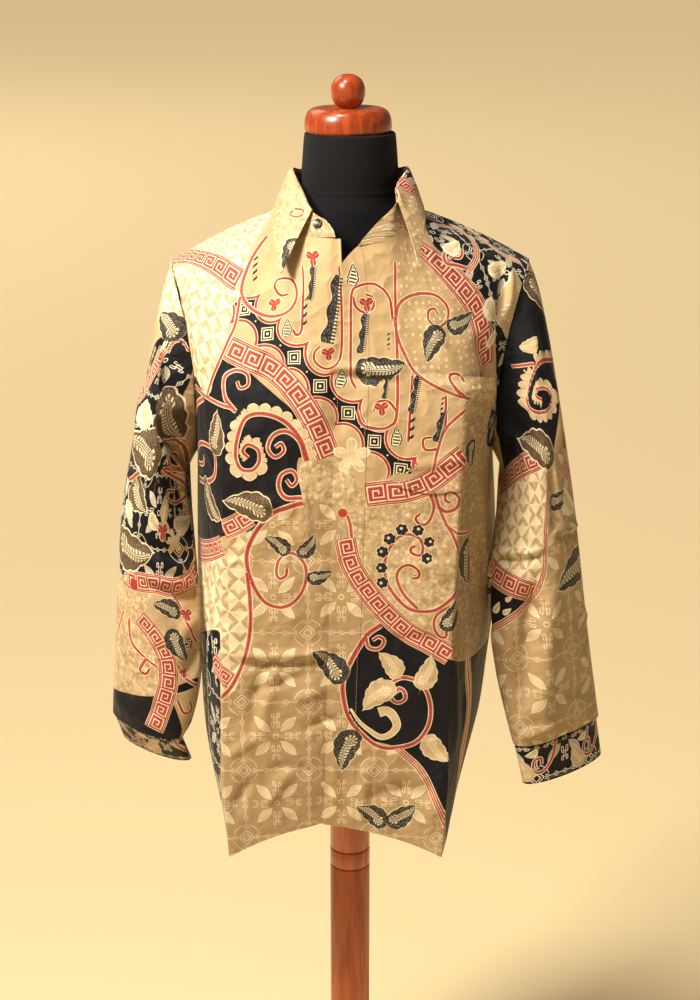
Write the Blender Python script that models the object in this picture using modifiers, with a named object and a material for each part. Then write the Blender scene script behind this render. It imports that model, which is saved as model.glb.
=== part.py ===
"""A batik shirt with long sleeves on a limbless dress form, in metres, +Z up, front towards -Y.

The shirt is cut and joined as the real one is: two fronts, a concealed-button fly band, one back,
two sleeves, two cuffs, a collar stand, a collar leaf, a chest pocket and three buttons. Each panel
is a sheet lofted through named stations and walled inwards. The form under it is a turned ball and
cap, a covered torso, a turned post and a round base. Left and right are the wearer's: left is +X.
"""

from collections import namedtuple
from math import copysign, cos, pi, radians, sin

import bmesh
import bpy
from mathutils import Vector

# ---- driving dimensions -------------------------------------------------------------------------

WALL = 0.0010  # every cloth wall
SEAM_GAP = 0.0003  # between two pieces that are sewn or that touch
LAP_DROP = 0.0032  # how far the right front lies under the fly band
LAP_FADE = 0.08  # share of the right front's width over which it dips
FLY_WIDTH = 0.036  # edge of the left front to the fly's stitch line
FLY_SEAM = 0.0035  # share of the left front's width between the fly and the front it is sewn to
UNDERLAP_REACH = 0.92  # share of the fly's width that the right front runs on under it
TOP_INSET = 0.012  # level of a panel's top row, half a seam's gap below the shoulder and neck seams

BASE_RADIUS = 0.190
BASE_HEIGHT = 0.032
POST_RADIUS = 0.0255
POST_GROOVES = (0.591, 0.567)
GROOVE_DEPTH = 0.0012
GROOVE_HALF = 0.0016
TORSO_BOTTOM = 0.780
NECK_TOP = 1.5010
CAP_RADIUS = 0.0505
CAP_TOP = 1.5295
CAP_DISH = 0.0036
CAP_LEAN = -0.0022  # how far the cap and its ball sit off the post's axis
CAP_DISH_RADIUS = 0.0225
CAP_PROFILE = (  # share of the radius, share of the height
    (0.46, 0.98), (0.62, 1.0), (0.78, 0.97), (0.90, 0.85), (0.97, 0.62), (1.0, 0.34), (0.995, 0.12),
    (0.96, 0.0),
)
BALL_RADIUS = 0.0197
BALL_HALF_HIGH = 0.0201
BALL_CENTRE = 1.5466
BALL_POWER = 2.25
BALL_NECK = 0.0085
BALL_STEPS = 14
BASE_STEP = 0.006
BASE_STEP_RADIUS = 0.060
BASE_ROUND = 0.008

CUFF_LAP = 0.09  # share of the cuff's round that overlaps itself
CUFF_LAP_LIFT = 0.0030
CUFF_START = radians(-106)  # at the back of the wrist
CUFF_ROUND = 26
BUTTON_RADIUS = 0.0056
BUTTON_THICK = 0.0024
BUTTON_DISH = 0.6  # share of the button's radius that its hollowed middle takes
COLLAR_BUTTON = (0.72, 0.58)  # place along the collar stand, share of its height
CUFF_BUTTON = 0.9595  # share along the cuff's strip

PANEL_ACROSS = 14  # faces across a front, from its edge to the side seam
PANEL_DOWN = 20
FLY_ACROSS = 3
BACK_ACROSS = 16
SLEEVE_ROUND = 20
SLEEVE_DOWN = 16
TURN_STEPS = 32
BUTTON_STEPS = 18

# ---- stations of the body -----------------------------------------------------------------------
# Each level is one line of the cloth from the front edge to the side: level 0 is the neckline and the
# shoulder seam, levels 1 to 4 end on the armhole, level 5 at the underarm, level 10 is the hem.

Station = namedtuple("Station", "x_right x_left y z")

NECKLINE_RIGHT = (  # from the front edge to the neck point on the shoulder
    (-0.0130, -0.1100, 1.3970), (-0.0280, -0.1040, 1.3960), (-0.0500, -0.0900, 1.3960),
    (-0.0700, -0.0480, 1.4020), (-0.0790, 0.0150, 1.4120),
)
NECKLINE_LEFT = (
    (-0.0145, -0.1220, 1.3640), (0.0120, -0.1080, 1.3900), (0.0450, -0.0940, 1.3940),
    (0.0680, -0.0500, 1.4020), (0.0790, 0.0150, 1.4120),
)
CENTRE = (
    Station(-0.0130, -0.0130, -0.1240, 1.3620),
    Station(-0.0135, -0.0135, -0.1330, 1.3100),
    Station(-0.0155, -0.0155, -0.1400, 1.2500),
    Station(-0.0175, -0.0175, -0.1440, 1.1900),
    Station(-0.0190, -0.0190, -0.1450, 1.1400),
    Station(-0.0205, -0.0205, -0.1450, 1.0850),
    Station(-0.0225, -0.0225, -0.1440, 1.0200),
    Station(-0.0250, -0.0250, -0.1440, 0.9400),
    Station(-0.0275, -0.0275, -0.1430, 0.8550),
    Station(-0.0300, -0.0300, -0.1400, 0.7700),
    Station(-0.0325, -0.0325, -0.1340, 0.6880),
)
MIDDLE = (
    Station(-0.0500, 0.0500, -0.0920, 1.3900),
    Station(-0.0620, 0.0560, -0.1130, 1.3420),
    Station(-0.0720, 0.0600, -0.1340, 1.2620),
    Station(-0.0800, 0.0600, -0.1440, 1.1950),
    Station(-0.0820, 0.0590, -0.1460, 1.1420),
    Station(-0.0830, 0.0570, -0.1460, 1.0850),
    Station(-0.0850, 0.0550, -0.1450, 1.0180),
    Station(-0.0870, 0.0520, -0.1450, 0.9360),
    Station(-0.0890, 0.0500, -0.1440, 0.8480),
    Station(-0.0900, 0.0480, -0.1430, 0.7580),
    Station(-0.0920, 0.0470, -0.1400, 0.6740),
)
CREASE = (
    Station(-0.0790, 0.0790, 0.0150, 1.4120),
    Station(-0.1060, 0.1000, -0.0700, 1.3740),
    Station(-0.1330, 0.1180, -0.1120, 1.2860),
    Station(-0.1420, 0.1265, -0.1360, 1.2050),
    Station(-0.1440, 0.1265, -0.1400, 1.1450),
    Station(-0.1450, 0.1245, -0.1410, 1.0850),
    Station(-0.1465, 0.1220, -0.1410, 1.0170),
    Station(-0.1485, 0.1190, -0.1420, 0.9340),
    Station(-0.1500, 0.1170, -0.1430, 0.8420),
    Station(-0.1500, 0.1150, -0.1460, 0.7460),
    Station(-0.1457, 0.1100, -0.1500, 0.6520),
)
STRIP = (
    Station(-0.1450, 0.1450, 0.0150, 1.3860),
    Station(-0.1600, 0.1560, -0.0520, 1.3580),
    Station(-0.1680, 0.1570, -0.0870, 1.2840),
    Station(-0.1700, 0.1570, -0.0960, 1.2060),
    Station(-0.1700, 0.1560, -0.0900, 1.1460),
    Station(-0.1700, 0.1550, -0.0820, 1.0950),
    Station(-0.1730, 0.1560, -0.0760, 1.0260),
    Station(-0.1760, 0.1560, -0.0720, 0.9400),
    Station(-0.1770, 0.1500, -0.0720, 0.8500),
    Station(-0.1720, 0.1410, -0.0760, 0.7620),
    Station(-0.1500, 0.1240, -0.0820, 0.6700),
)
SIDE = (  # levels 5 to 10; above them the edge is the armhole
    Station(-0.1840, 0.1720, 0.0000, 1.1250),
    Station(-0.1860, 0.1770, 0.0000, 1.0450),
    Station(-0.1870, 0.1795, 0.0000, 0.9500),
    Station(-0.1845, 0.1710, 0.0000, 0.8600),
    Station(-0.1760, 0.1590, 0.0000, 0.7700),
    Station(-0.1520, 0.1300, -0.0020, 0.6800),
)
BACK_CENTRE = (
    Station(0.0, 0.0, 0.0780, 1.4400),
    Station(0.0, 0.0, 0.1000, 1.3650),
    Station(0.0, 0.0, 0.1160, 1.2850),
    Station(0.0, 0.0, 0.1220, 1.2100),
    Station(0.0, 0.0, 0.1220, 1.1500),
    Station(0.0, 0.0, 0.1190, 1.0950),
    Station(0.0, 0.0, 0.1150, 1.0250),
    Station(0.0, 0.0, 0.1130, 0.9400),
    Station(0.0, 0.0, 0.1150, 0.8500),
    Station(0.0, 0.0, 0.1160, 0.7600),
    Station(0.0, 0.0, 0.1100, 0.6740),
)
BACK_MIDDLE = (
    Station(-0.0520, 0.0520, 0.0600, 1.4290),
    Station(-0.0620, 0.0620, 0.0940, 1.3620),
    Station(-0.0660, 0.0660, 0.1140, 1.2840),
    Station(-0.0680, 0.0680, 0.1210, 1.2090),
    Station(-0.0680, 0.0680, 0.1210, 1.1490),
    Station(-0.0670, 0.0670, 0.1180, 1.0940),
    Station(-0.0660, 0.0660, 0.1140, 1.0240),
    Station(-0.0650, 0.0650, 0.1120, 0.9390),
    Station(-0.0640, 0.0640, 0.1140, 0.8480),
    Station(-0.0620, 0.0620, 0.1150, 0.7570),
    Station(-0.0600, 0.0580, 0.1120, 0.6700),
)
BACK_CREASE = (
    Station(-0.0790, 0.0790, 0.0150, 1.4120),
    Station(-0.1150, 0.1120, 0.0720, 1.3560),
    Station(-0.1320, 0.1280, 0.1010, 1.2820),
    Station(-0.1370, 0.1320, 0.1100, 1.2080),
    Station(-0.1380, 0.1320, 0.1120, 1.1480),
    Station(-0.1370, 0.1310, 0.1110, 1.0940),
    Station(-0.1370, 0.1300, 0.1090, 1.0240),
    Station(-0.1360, 0.1280, 0.1080, 0.9380),
    Station(-0.1330, 0.1240, 0.1090, 0.8460),
    Station(-0.1270, 0.1180, 0.1080, 0.7540),
    Station(-0.1180, 0.1080, 0.1030, 0.6660),
)
BACK_STRIP = (
    Station(-0.1450, 0.1450, 0.0150, 1.3860),
    Station(-0.1680, 0.1640, 0.0520, 1.3480),
    Station(-0.1760, 0.1660, 0.0780, 1.2800),
    Station(-0.1740, 0.1640, 0.0830, 1.2060),
    Station(-0.1760, 0.1650, 0.0780, 1.1470),
    Station(-0.1740, 0.1640, 0.0700, 1.0990),
    Station(-0.1760, 0.1660, 0.0620, 1.0300),
    Station(-0.1770, 0.1670, 0.0600, 0.9420),
    Station(-0.1730, 0.1600, 0.0600, 0.8520),
    Station(-0.1630, 0.1480, 0.0600, 0.7620),
    Station(-0.1440, 0.1260, 0.0560, 0.6720),
)
CORNER = (1.0, 0.15, 0.1, 0.65, 0.9, 1.0, 1.0, 1.0, 1.0, 1.0, 1.0)  # how sharp the pressed front crease is
BACK_CORNER = (1.0, 0.1, 0.1, 0.2, 0.3, 0.35, 0.4, 0.45, 0.5, 0.5, 0.5)
STATION_PLACES = (0.0, 0.3, 0.6, 0.8, 1.0)  # of the five stations, along one level
UNDERARM_LEVEL = 5
HEM_LEVEL = 10
NECK_FADE = 1.0  # the level where the neckline's own curve has died out

# ---- rings of the sleeves -----------------------------------------------------------------------
# Each ring is a flattened round through its outer and its inner point, deep_front and deep_back from
# the line between them. The body presses the back of the upper sleeve flat.

Ring = namedtuple("Ring", "out_x out_y out_z in_x in_y in_z deep_front deep_back turn")  # turn in degrees

SLEEVE_LEFT = (
    Ring(0.2090, 0.0000, 1.3540, 0.1720, 0.0000, 1.1250, 0.0600, 0.0600, 0),
    Ring(0.2200, -0.0020, 1.3240, 0.1830, -0.0160, 1.1000, 0.0640, 0.0480, 6),
    Ring(0.2290, -0.0040, 1.2750, 0.1800, -0.0340, 1.0720, 0.0650, 0.0340, 14),
    Ring(0.2370, -0.0060, 1.2150, 0.1770, -0.0500, 1.0420, 0.0640, 0.0250, 22),
    Ring(0.2470, -0.0060, 1.1450, 0.1720, -0.0620, 1.0080, 0.0620, 0.0240, 29),
    Ring(0.2590, -0.0060, 1.0700, 0.1690, -0.0720, 0.9660, 0.0580, 0.0260, 34),
    Ring(0.2720, -0.0080, 0.9850, 0.1720, -0.0800, 0.9160, 0.0520, 0.0300, 36),
    Ring(0.2860, -0.0120, 0.9000, 0.1820, -0.0860, 0.8560, 0.0440, 0.0320, 36),
    Ring(0.3000, -0.0180, 0.8250, 0.1940, -0.0900, 0.8040, 0.0330, 0.0300, 36),
    Ring(0.3080, -0.0220, 0.7860, 0.2015, -0.0900, 0.7725, 0.0230, 0.0230, 36),
)
SLEEVE_RIGHT = (
    Ring(-0.2090, 0.0000, 1.3520, -0.1840, 0.0000, 1.1250, 0.0600, 0.0600, 0),
    Ring(-0.2170, -0.0040, 1.3240, -0.1960, -0.0180, 1.1000, 0.0640, 0.0480, 6),
    Ring(-0.2250, -0.0100, 1.2750, -0.1950, -0.0380, 1.0720, 0.0660, 0.0340, 14),
    Ring(-0.2340, -0.0160, 1.2150, -0.1910, -0.0560, 1.0420, 0.0660, 0.0240, 22),
    Ring(-0.2460, -0.0220, 1.1450, -0.1870, -0.0700, 1.0080, 0.0640, 0.0220, 29),
    Ring(-0.2580, -0.0280, 1.0700, -0.1840, -0.0820, 0.9660, 0.0600, 0.0240, 34),
    Ring(-0.2685, -0.0360, 0.9850, -0.1820, -0.0920, 0.9160, 0.0540, 0.0280, 34),
    Ring(-0.2775, -0.0460, 0.9000, -0.1830, -0.1020, 0.8600, 0.0440, 0.0300, 33),
    Ring(-0.2850, -0.0540, 0.8400, -0.1930, -0.1080, 0.8130, 0.0330, 0.0300, 32),
    Ring(-0.2890, -0.0560, 0.8068, -0.2040, -0.1080, 0.7905, 0.0230, 0.0230, 32),
)
CUFF_LEFT = (
    Ring(0.3060, -0.0220, 0.7840, 0.2030, -0.0900, 0.7700, 0.0200, 0.0200, 34),
    Ring(0.3140, -0.0240, 0.7340, 0.2140, -0.0880, 0.7205, 0.0180, 0.0180, 34),
)
CUFF_RIGHT = (
    Ring(-0.2870, -0.0580, 0.8040, -0.2050, -0.1060, 0.7880, 0.0200, 0.0200, 30),
    Ring(-0.2820, -0.0300, 0.7628, -0.1970, -0.0780, 0.7481, 0.0180, 0.0180, 30),
)
ARMHOLE_GAP = 0.0007  # between the sleeve's head and the body, where the walls turn a corner
UNDERARM_EXTRA = 1.6  # how much wider that gap is at the underarm, where the walls lie flat together
SCOOP_ROWS = 0.9  # of the sleeve's rings, over which the armhole's curve dies out
ARMHOLE_SCOOP = 0.014  # how far the armhole seam curves in, at the front and the back of the arm

# ---- collar -------------------------------------------------------------------------------------

Fold = namedtuple("Fold", "seam top fall")  # stand's seam, its top, and the leaf's outer edge

COLLAR = (  # from the wearer's right end, round the back of the neck, to the left end
    Fold((-0.0165, -0.1090, 1.3985), (-0.0200, -0.1000, 1.4115), None),
    Fold((-0.0410, -0.0960, 1.3975), (-0.0416, -0.0800, 1.4206), (-0.0767, -0.1250, 1.3583)),
    Fold((-0.0630, -0.0690, 1.4000), (-0.0530, -0.0460, 1.4375), (-0.0850, -0.0800, 1.3878)),
    Fold((-0.0750, -0.0290, 1.4080), (-0.0650, -0.0060, 1.4570), (-0.0890, -0.0200, 1.4085)),
    Fold((-0.0775, 0.0200, 1.4170), (-0.0565, 0.0300, 1.4530), (-0.0850, 0.0300, 1.4170)),
    Fold((-0.0500, 0.0620, 1.4330), (-0.0400, 0.0580, 1.4580), (-0.0560, 0.0790, 1.4280)),
    Fold((0.0000, 0.0780, 1.4410), (0.0000, 0.0680, 1.4640), (0.0000, 0.0960, 1.4300)),
    Fold((0.0500, 0.0620, 1.4330), (0.0400, 0.0580, 1.4580), (0.0560, 0.0790, 1.4280)),
    Fold((0.0775, 0.0200, 1.4170), (0.0530, 0.0300, 1.4540), (0.0820, 0.0300, 1.4180)),
    Fold((0.0740, -0.0290, 1.4080), (0.0640, -0.0100, 1.4590), (0.0860, -0.0230, 1.4120)),
    Fold((0.0600, -0.0700, 1.3990), (0.0520, -0.0420, 1.4425), (0.0850, -0.0640, 1.4035)),
    Fold((0.0400, -0.0960, 1.3950), (0.0520, -0.0640, 1.4276), (0.0756, -0.1200, 1.3697)),
    Fold((0.0105, -0.1100, 1.3890), (0.0180, -0.1010, 1.4005), None),
)
STAND_STEPS = 30
STAND_CLEAR = 0.10  # share of the stand's height that the neckline's seam takes
STAND_ROUND = 0.35  # how far its top corners are rounded back
LEAF_STEPS = 28
LEAF_DOWN = 4
LEAF_ROLL = ((0.0018, 0.0008), (0.0022, 0.0026), (0.0006, 0.0044))  # rise and reach of the fold
LEAF_BULGE = 0.0015
NECK_CENTRE_Y = -0.010

# ---- pocket -------------------------------------------------------------------------------------

PocketEdge = namedtuple("PocketEdge", "across level_top level_bottom mouth")

POCKET = (  # across the left front and down its levels; mouth is how far its top stands open
    PocketEdge(0.27, 2.15, 4.42, 0.0),
    PocketEdge(0.44, 2.33, 4.60, 0.0005),
    PocketEdge(0.60, 2.53, 4.56, 0.0020),
    PocketEdge(0.80, 2.64, 4.36, 0.0110),
)
POCKET_ACROSS = 12
POCKET_DOWN = 6
POCKET_LIFT = WALL + SEAM_GAP + 0.0004

# ---- dress form ---------------------------------------------------------------------------------

TorsoRing = namedtuple("TorsoRing", "z half_wide front_y back_y power")

TORSO = (
    TorsoRing(0.7800, 0.1360, -0.0880, 0.0800, 2.3),
    TorsoRing(0.7900, 0.1440, -0.0960, 0.0870, 2.3),
    TorsoRing(0.8800, 0.1500, -0.1060, 0.0940, 2.3),
    TorsoRing(1.0000, 0.1460, -0.1080, 0.0920, 2.3),
    TorsoRing(1.1000, 0.1500, -0.1160, 0.0960, 2.3),
    TorsoRing(1.2000, 0.1560, -0.1200, 0.1000, 2.3),
    TorsoRing(1.2700, 0.1650, -0.1080, 0.0980, 2.2),
    TorsoRing(1.3150, 0.1780, -0.0880, 0.0860, 2.1),
    TorsoRing(1.3400, 0.1820, -0.0740, 0.0720, 2.0),
    TorsoRing(1.3560, 0.1660, -0.0640, 0.0620, 2.0),
    TorsoRing(1.3720, 0.1380, -0.0600, 0.0560, 2.0),
    TorsoRing(1.3880, 0.1040, -0.0600, 0.0540, 2.0),
    TorsoRing(1.4000, 0.0780, -0.0600, 0.0530, 2.0),
    TorsoRing(1.4160, 0.0620, -0.0600, 0.0530, 2.0),
    TorsoRing(1.4340, 0.0570, -0.0570, 0.0540, 2.0),
    TorsoRing(1.4620, 0.0562, -0.0562, 0.0550, 2.0),
    TorsoRing(1.4960, 0.0535, -0.0535, 0.0535, 2.0),
    TorsoRing(1.5010, 0.0515, -0.0515, 0.0515, 2.0),
)
TORSO_ROUND = 32

# ---- curves through the tables ------------------------------------------------------------------


def along(values, place):
    """A Catmull-Rom curve through the values, where place 0 is the first and 1 apart is the next."""
    last = len(values) - 1
    first = min(max(int(place), 0), last - 1)
    t = place - first
    b, c = values[first], values[first + 1]
    a = values[first - 1] if first > 0 else b * 2 - c
    d = values[first + 2] if first + 2 <= last else c * 2 - b
    return (
        b * 2
        + (c - a) * t
        + (a * 2 - b * 5 + c * 4 - d) * t**2
        + (b * 3 - a - c * 3 + d) * t**3
    ) * 0.5


def bend(start, middle, end, share, t):
    """A parabola from start to end that passes through middle at share."""
    straight = start.lerp(end, t)
    lift = middle - start.lerp(end, share)
    return straight + lift * (t * (1 - t) / (share * (1 - share)))


def station(table, side, level):
    rows = [Vector((row.x_left if side > 0 else row.x_right, row.y, row.z)) for row in table]
    return along(rows, level)


def ring_point(rings, row, angle, scoop=0.0):
    """A point of a sleeve's ring. Angle 0 is its outer point, and a quarter turn is its front."""
    outer = along([Vector(ring[0:3]) for ring in rings], row)
    inner = along([Vector(ring[3:6]) for ring in rings], row)
    deep = along([ring.deep_front if sin(angle) > 0 else ring.deep_back for ring in rings], row)
    reach = (outer - inner) * 0.5
    side = 1 if reach.x > 0 else -1
    turn = radians(along([ring.turn for ring in rings], row))
    front = Vector((side * sin(turn), -cos(turn), 0))
    point = (outer + inner) * 0.5 + reach * cos(angle) + front * (deep * sin(angle))
    point.x -= side * scoop * sin(angle) ** 2
    return point


def edge_point(side, level, front):
    """The outer edge of a panel: the armhole down to the underarm, then the side seam."""
    if level < UNDERARM_LEVEL:
        rings = SLEEVE_LEFT if side > 0 else SLEEVE_RIGHT
        angle = pi * level / UNDERARM_LEVEL
        return ring_point(rings, 0, angle if front else -angle, ARMHOLE_SCOOP)
    return station(SIDE, side, level - UNDERARM_LEVEL)


def plain_point(side, level, across, front=True):
    """A point of the body's cloth: across 0 is the front edge or the back's middle, 1 is the side."""
    front_tables = (CENTRE, MIDDLE, CREASE, STRIP)
    back_tables = (BACK_CENTRE, BACK_MIDDLE, BACK_CREASE, BACK_STRIP)
    tables = front_tables if front else back_tables
    marks = [station(table, side, level) for table in tables] + [edge_point(side, level, front)]
    corner = along(CORNER if front else BACK_CORNER, level)
    crease_at = STATION_PLACES[2]
    if across <= crease_at:
        share = across / crease_at
        sharp = bend(marks[0], marks[1], marks[2], 0.5, share)
        place = 2 * share
    else:
        share = (across - crease_at) / (1 - crease_at)
        sharp = bend(marks[2], marks[3], marks[4], 0.5, share)
        place = 2 + 2 * share
    return along(marks, place).lerp(sharp, min(max(corner, 0), 1))


def panel_point(side, level, across, front=True):
    """A point of the body's cloth, with the front's neckline drawn to its own curve."""
    point = plain_point(side, level, across, front)
    crease_at = STATION_PLACES[2]
    if front and across < crease_at and level < NECK_FADE:
        line = [Vector(mark) for mark in (NECKLINE_LEFT if side > 0 else NECKLINE_RIGHT)]
        neck = along(line, across / crease_at * (len(line) - 1))
        point += (neck - plain_point(side, 0, across, front)) * (1 - level / NECK_FADE) ** 2
    return point


def outward(side, level, across, front=True):
    """The cloth's outward normal there."""
    step = 0.01
    low, high = max(across - step, 0), min(across + step, 1)
    up, down = max(level - step, 0), min(level + step, len(CENTRE) - 1)
    over = panel_point(side, level, high, front) - panel_point(side, level, low, front)
    fall = panel_point(side, down, across, front) - panel_point(side, up, across, front)
    normal = over.cross(fall).normalized()
    return normal * (-side if front else side)


# ---- objects ------------------------------------------------------------------------------------


def material(name, colour, roughness, metallic=0.0):
    made = bpy.data.materials.new(name)
    made.use_nodes = True
    shader = made.node_tree.nodes["Principled BSDF"]
    shader.inputs["Base Color"].default_value = (*colour, 1)
    shader.inputs["Roughness"].default_value = roughness
    shader.inputs["Metallic"].default_value = metallic
    return made


def add(collection, name, mesh, finish):
    made = bpy.data.objects.new(name, mesh)
    mesh.materials.append(finish)
    mesh.shade_smooth()
    collection.objects.link(made)
    return made


def sheet(collection, name, rows, finish, tube=False, flip=False, wall=WALL):
    """A cloth sheet through rows of points, walled inwards. A tube's rows close on themselves."""
    count = len(rows[0])
    faces = []
    for r in range(len(rows) - 1):
        for c in range(count if tube else count - 1):
            d = (c + 1) % count
            face = (r * count + c, r * count + d, (r + 1) * count + d, (r + 1) * count + c)
            faces.append(face[::-1] if flip else face)
    mesh = bpy.data.meshes.new(name)
    mesh.from_pydata([point for row in rows for point in row], [], faces)
    made = add(collection, name, mesh, finish)
    solid = made.modifiers.new("Wall", "SOLIDIFY")
    solid.thickness = wall
    solid.offset = 0
    solid.use_even_offset = False
    return made


def turned(collection, name, profile, finish, steps=TURN_STEPS):
    """A profile of (radius, height) from the top axis down the outer side, turned round Z."""
    mesh = bpy.data.meshes.new(name)
    mesh.from_pydata(
        [(radius, 0, z) for radius, z in profile], [(i, i + 1) for i in range(len(profile) - 1)], []
    )
    made = add(collection, name, mesh, finish)
    screw = made.modifiers.new("Turn", "SCREW")
    screw.steps = screw.render_steps = steps
    screw.use_merge_vertices = True
    screw.merge_threshold = 0.00001
    return made


def shares(count, low=0.0, high=1.0):
    return [low + (high - low) * i / count for i in range(count + 1)]


def panel_levels():
    """The levels of a body panel's rows, the top one drawn in by half a seam's gap."""
    return [max(level, TOP_INSET) for level in shares(PANEL_DOWN, 0, HEM_LEVEL)]


# ---- the shirt ----------------------------------------------------------------------------------


def fly_share(level):
    """The share of the left front's width, at this level, that the fly band takes."""
    middle_at = STATION_PLACES[1]
    width = (panel_point(1, level, middle_at) - panel_point(1, level, 0)).length
    return middle_at * FLY_WIDTH / width


def seam_inset(side, level, front=True):
    """The across of a panel's side edge, drawn in by half a seam's gap."""
    step = 0.03
    width = (panel_point(side, level, 1, front) - panel_point(side, level, 1 - step, front)).length
    return 1 - step * (ARMHOLE_GAP if level < UNDERARM_LEVEL else SEAM_GAP) / width


def build_fronts(shirt, cloth):
    for name, side in (("front_left", 1), ("front_right", -1)):
        rows = []
        for level in panel_levels():
            start = fly_share(level) + FLY_SEAM if side > 0 else 0.0
            places = spaced(start, seam_inset(side, level))
            row = [front_point(side, level, across) for across in places]
            rows.append(row if side > 0 else underlap(level) + row)
        sheet(shirt, name, rows, cloth, flip=side > 0)


def front_point(side, level, across):
    """A front's point. The right front dips under the fly band's edge."""
    point = panel_point(side, level, across)
    if side < 0 and across < LAP_FADE:
        point -= outward(side, level, across) * LAP_DROP * (1 - across / LAP_FADE)
    return point


def spaced(start, end):
    """Places across a front, with one on the pressed crease."""
    crease = STATION_PLACES[2]
    before = round(PANEL_ACROSS * 0.5)
    return shares(before, start, crease)[:-1] + shares(PANEL_ACROSS - before, crease, end)


def underlap(level):
    """The right front's edge, which runs on to the left under the fly band."""
    drop = outward(1, level, fly_share(level) / 4) * LAP_DROP
    reach = fly_share(level) * UNDERLAP_REACH
    return [panel_point(1, level, reach * (1 - share)) - drop for share in shares(FLY_ACROSS)[:-1]]


def build_fly(shirt, cloth):
    rows = [
        [panel_point(1, level, across) for across in shares(FLY_ACROSS, 0, fly_share(level))]
        for level in panel_levels()
    ]
    sheet(shirt, "fly_band", rows, cloth, flip=True)


def build_back(shirt, cloth):
    rows = []
    for level in panel_levels():
        halves = []
        for side in (1, -1):
            places = shares(BACK_ACROSS // 2, 0, seam_inset(side, level, False))
            halves.append([panel_point(side, level, across, False) for across in places])
        left, right = halves
        rows.append(right[:0:-1] + left)
    sheet(shirt, "back", rows, cloth, flip=True)


def build_sleeves(shirt, cloth):
    for name, rings, side in (("left", SLEEVE_LEFT, 1), ("right", SLEEVE_RIGHT, -1)):
        rows = []
        for step, row in enumerate(shares(SLEEVE_DOWN, 0, len(rings) - 1)):
            scoop = ARMHOLE_SCOOP * max(0, 1 - row / SCOOP_ROWS)
            ring = []
            for turn in range(SLEEVE_ROUND):
                angle = 2 * pi * turn / SLEEVE_ROUND
                point = ring_point(rings, row, angle, scoop)
                if step == 0:
                    point.x += side * ARMHOLE_GAP * (1 + UNDERARM_EXTRA * sin(angle / 2) ** 2)
                ring.append(point)
            rows.append(ring)
        sheet(shirt, f"sleeve_{name}", rows, cloth, tube=True, flip=side < 0)


def cuff_point(rings, row, share):
    """A point of a cuff's strip, which starts and ends at the back of the wrist and laps itself."""
    turn = share * (1 + CUFF_LAP)
    angle = CUFF_START + 2 * pi * turn
    outer, inner = ring_point(rings, row, 0), ring_point(rings, row, pi)
    point = ring_point(rings, row, angle)
    across = (point - (outer + inner) * 0.5) - (outer - inner) * (0.5 * cos(angle))
    lap = min(max((turn - 1 + CUFF_LAP) / CUFF_LAP, 0), 1)
    away = Vector((across.x, across.y, 0)).normalized()
    return point + away * (CUFF_LAP_LIFT * lap)


def build_cuffs(shirt, cloth):
    for name, rings, side in (("left", CUFF_LEFT, 1), ("right", CUFF_RIGHT, -1)):
        rows = [[cuff_point(rings, row, share) for share in shares(CUFF_ROUND)] for row in shares(2)]
        sheet(shirt, f"cuff_{name}", rows, cloth, flip=side < 0)


def collar_curve(part, place):
    return along([Vector(getattr(fold, part)) for fold in COLLAR], place)


def stand_point(place, share):
    """A point of the collar stand's outer face, from its seam at 0 to its top at 1."""
    return collar_curve("seam", place).lerp(collar_curve("top", place), share)


def from_neck(point):
    return Vector((point.x, point.y - NECK_CENTRE_Y, 0)).normalized()


def build_stand(shirt, cloth):
    last = len(COLLAR) - 1
    rows = []
    for share in shares(3, STAND_CLEAR, 1):
        rounding = STAND_ROUND * share**3
        places = shares(STAND_STEPS, rounding, last - rounding)
        rows.append([stand_point(place, share) for place in places])
    sheet(shirt, "collar_stand", rows, cloth, flip=True)


def build_leaf(shirt, cloth):
    """The leaf rolls out of the stand's top edge and falls outside it to two points."""
    fall = [Vector(fold.fall) for fold in COLLAR[1:-1]]
    rows = []
    for rise, away in LEAF_ROLL:
        rows.append([
            stand_point(place, 1) + Vector((0, 0, rise)) + from_neck(stand_point(place, 1)) * away
            for place in shares(LEAF_STEPS, 1, len(COLLAR) - 2)
        ])
    for share in shares(LEAF_DOWN)[1:]:
        row = []
        for i, start in enumerate(rows[len(LEAF_ROLL) - 1]):
            end = along(fall, (len(fall) - 1) * i / LEAF_STEPS)
            row.append(start.lerp(end, share) + from_neck(start) * (LEAF_BULGE * sin(pi * share)))
        rows.append(row)
    sheet(shirt, "collar_leaf", rows, cloth)


def build_pocket(shirt, cloth):
    rows = []
    for down in shares(POCKET_DOWN):
        row = []
        for place in shares(POCKET_ACROSS, 0, len(POCKET) - 1):
            first = min(int(place), len(POCKET) - 2)
            left, right = POCKET[first], POCKET[first + 1]
            edge = [a + (b - a) * (place - first) for a, b in zip(left, right)]
            level = edge[1] + (edge[2] - edge[1]) * down
            lift = POCKET_LIFT + edge[3] * (1 - down) ** 2
            row.append(panel_point(1, level, edge[0]) + outward(1, level, edge[0]) * lift)
        rows.append(row)
    sheet(shirt, "pocket", rows, cloth, flip=True)


def build_button(shirt, name, centre, normal, finish):
    """A flat turned button with a rounded rim, its underside just off the cloth."""
    half = BUTTON_THICK / 2
    dish = [(0, half / 2), (BUTTON_RADIUS * BUTTON_DISH, half / 2)]
    turns = shares(4, 0, pi)
    rim = [(BUTTON_RADIUS - half + half * sin(angle), half * cos(angle)) for angle in turns]
    button = turned(shirt, name, dish + rim + [(0, -half)], finish, BUTTON_STEPS)
    button.location = centre + normal * (half + WALL / 2 + SEAM_GAP * 2)
    button.rotation_euler = normal.to_track_quat("Z", "Y").to_euler()


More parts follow.
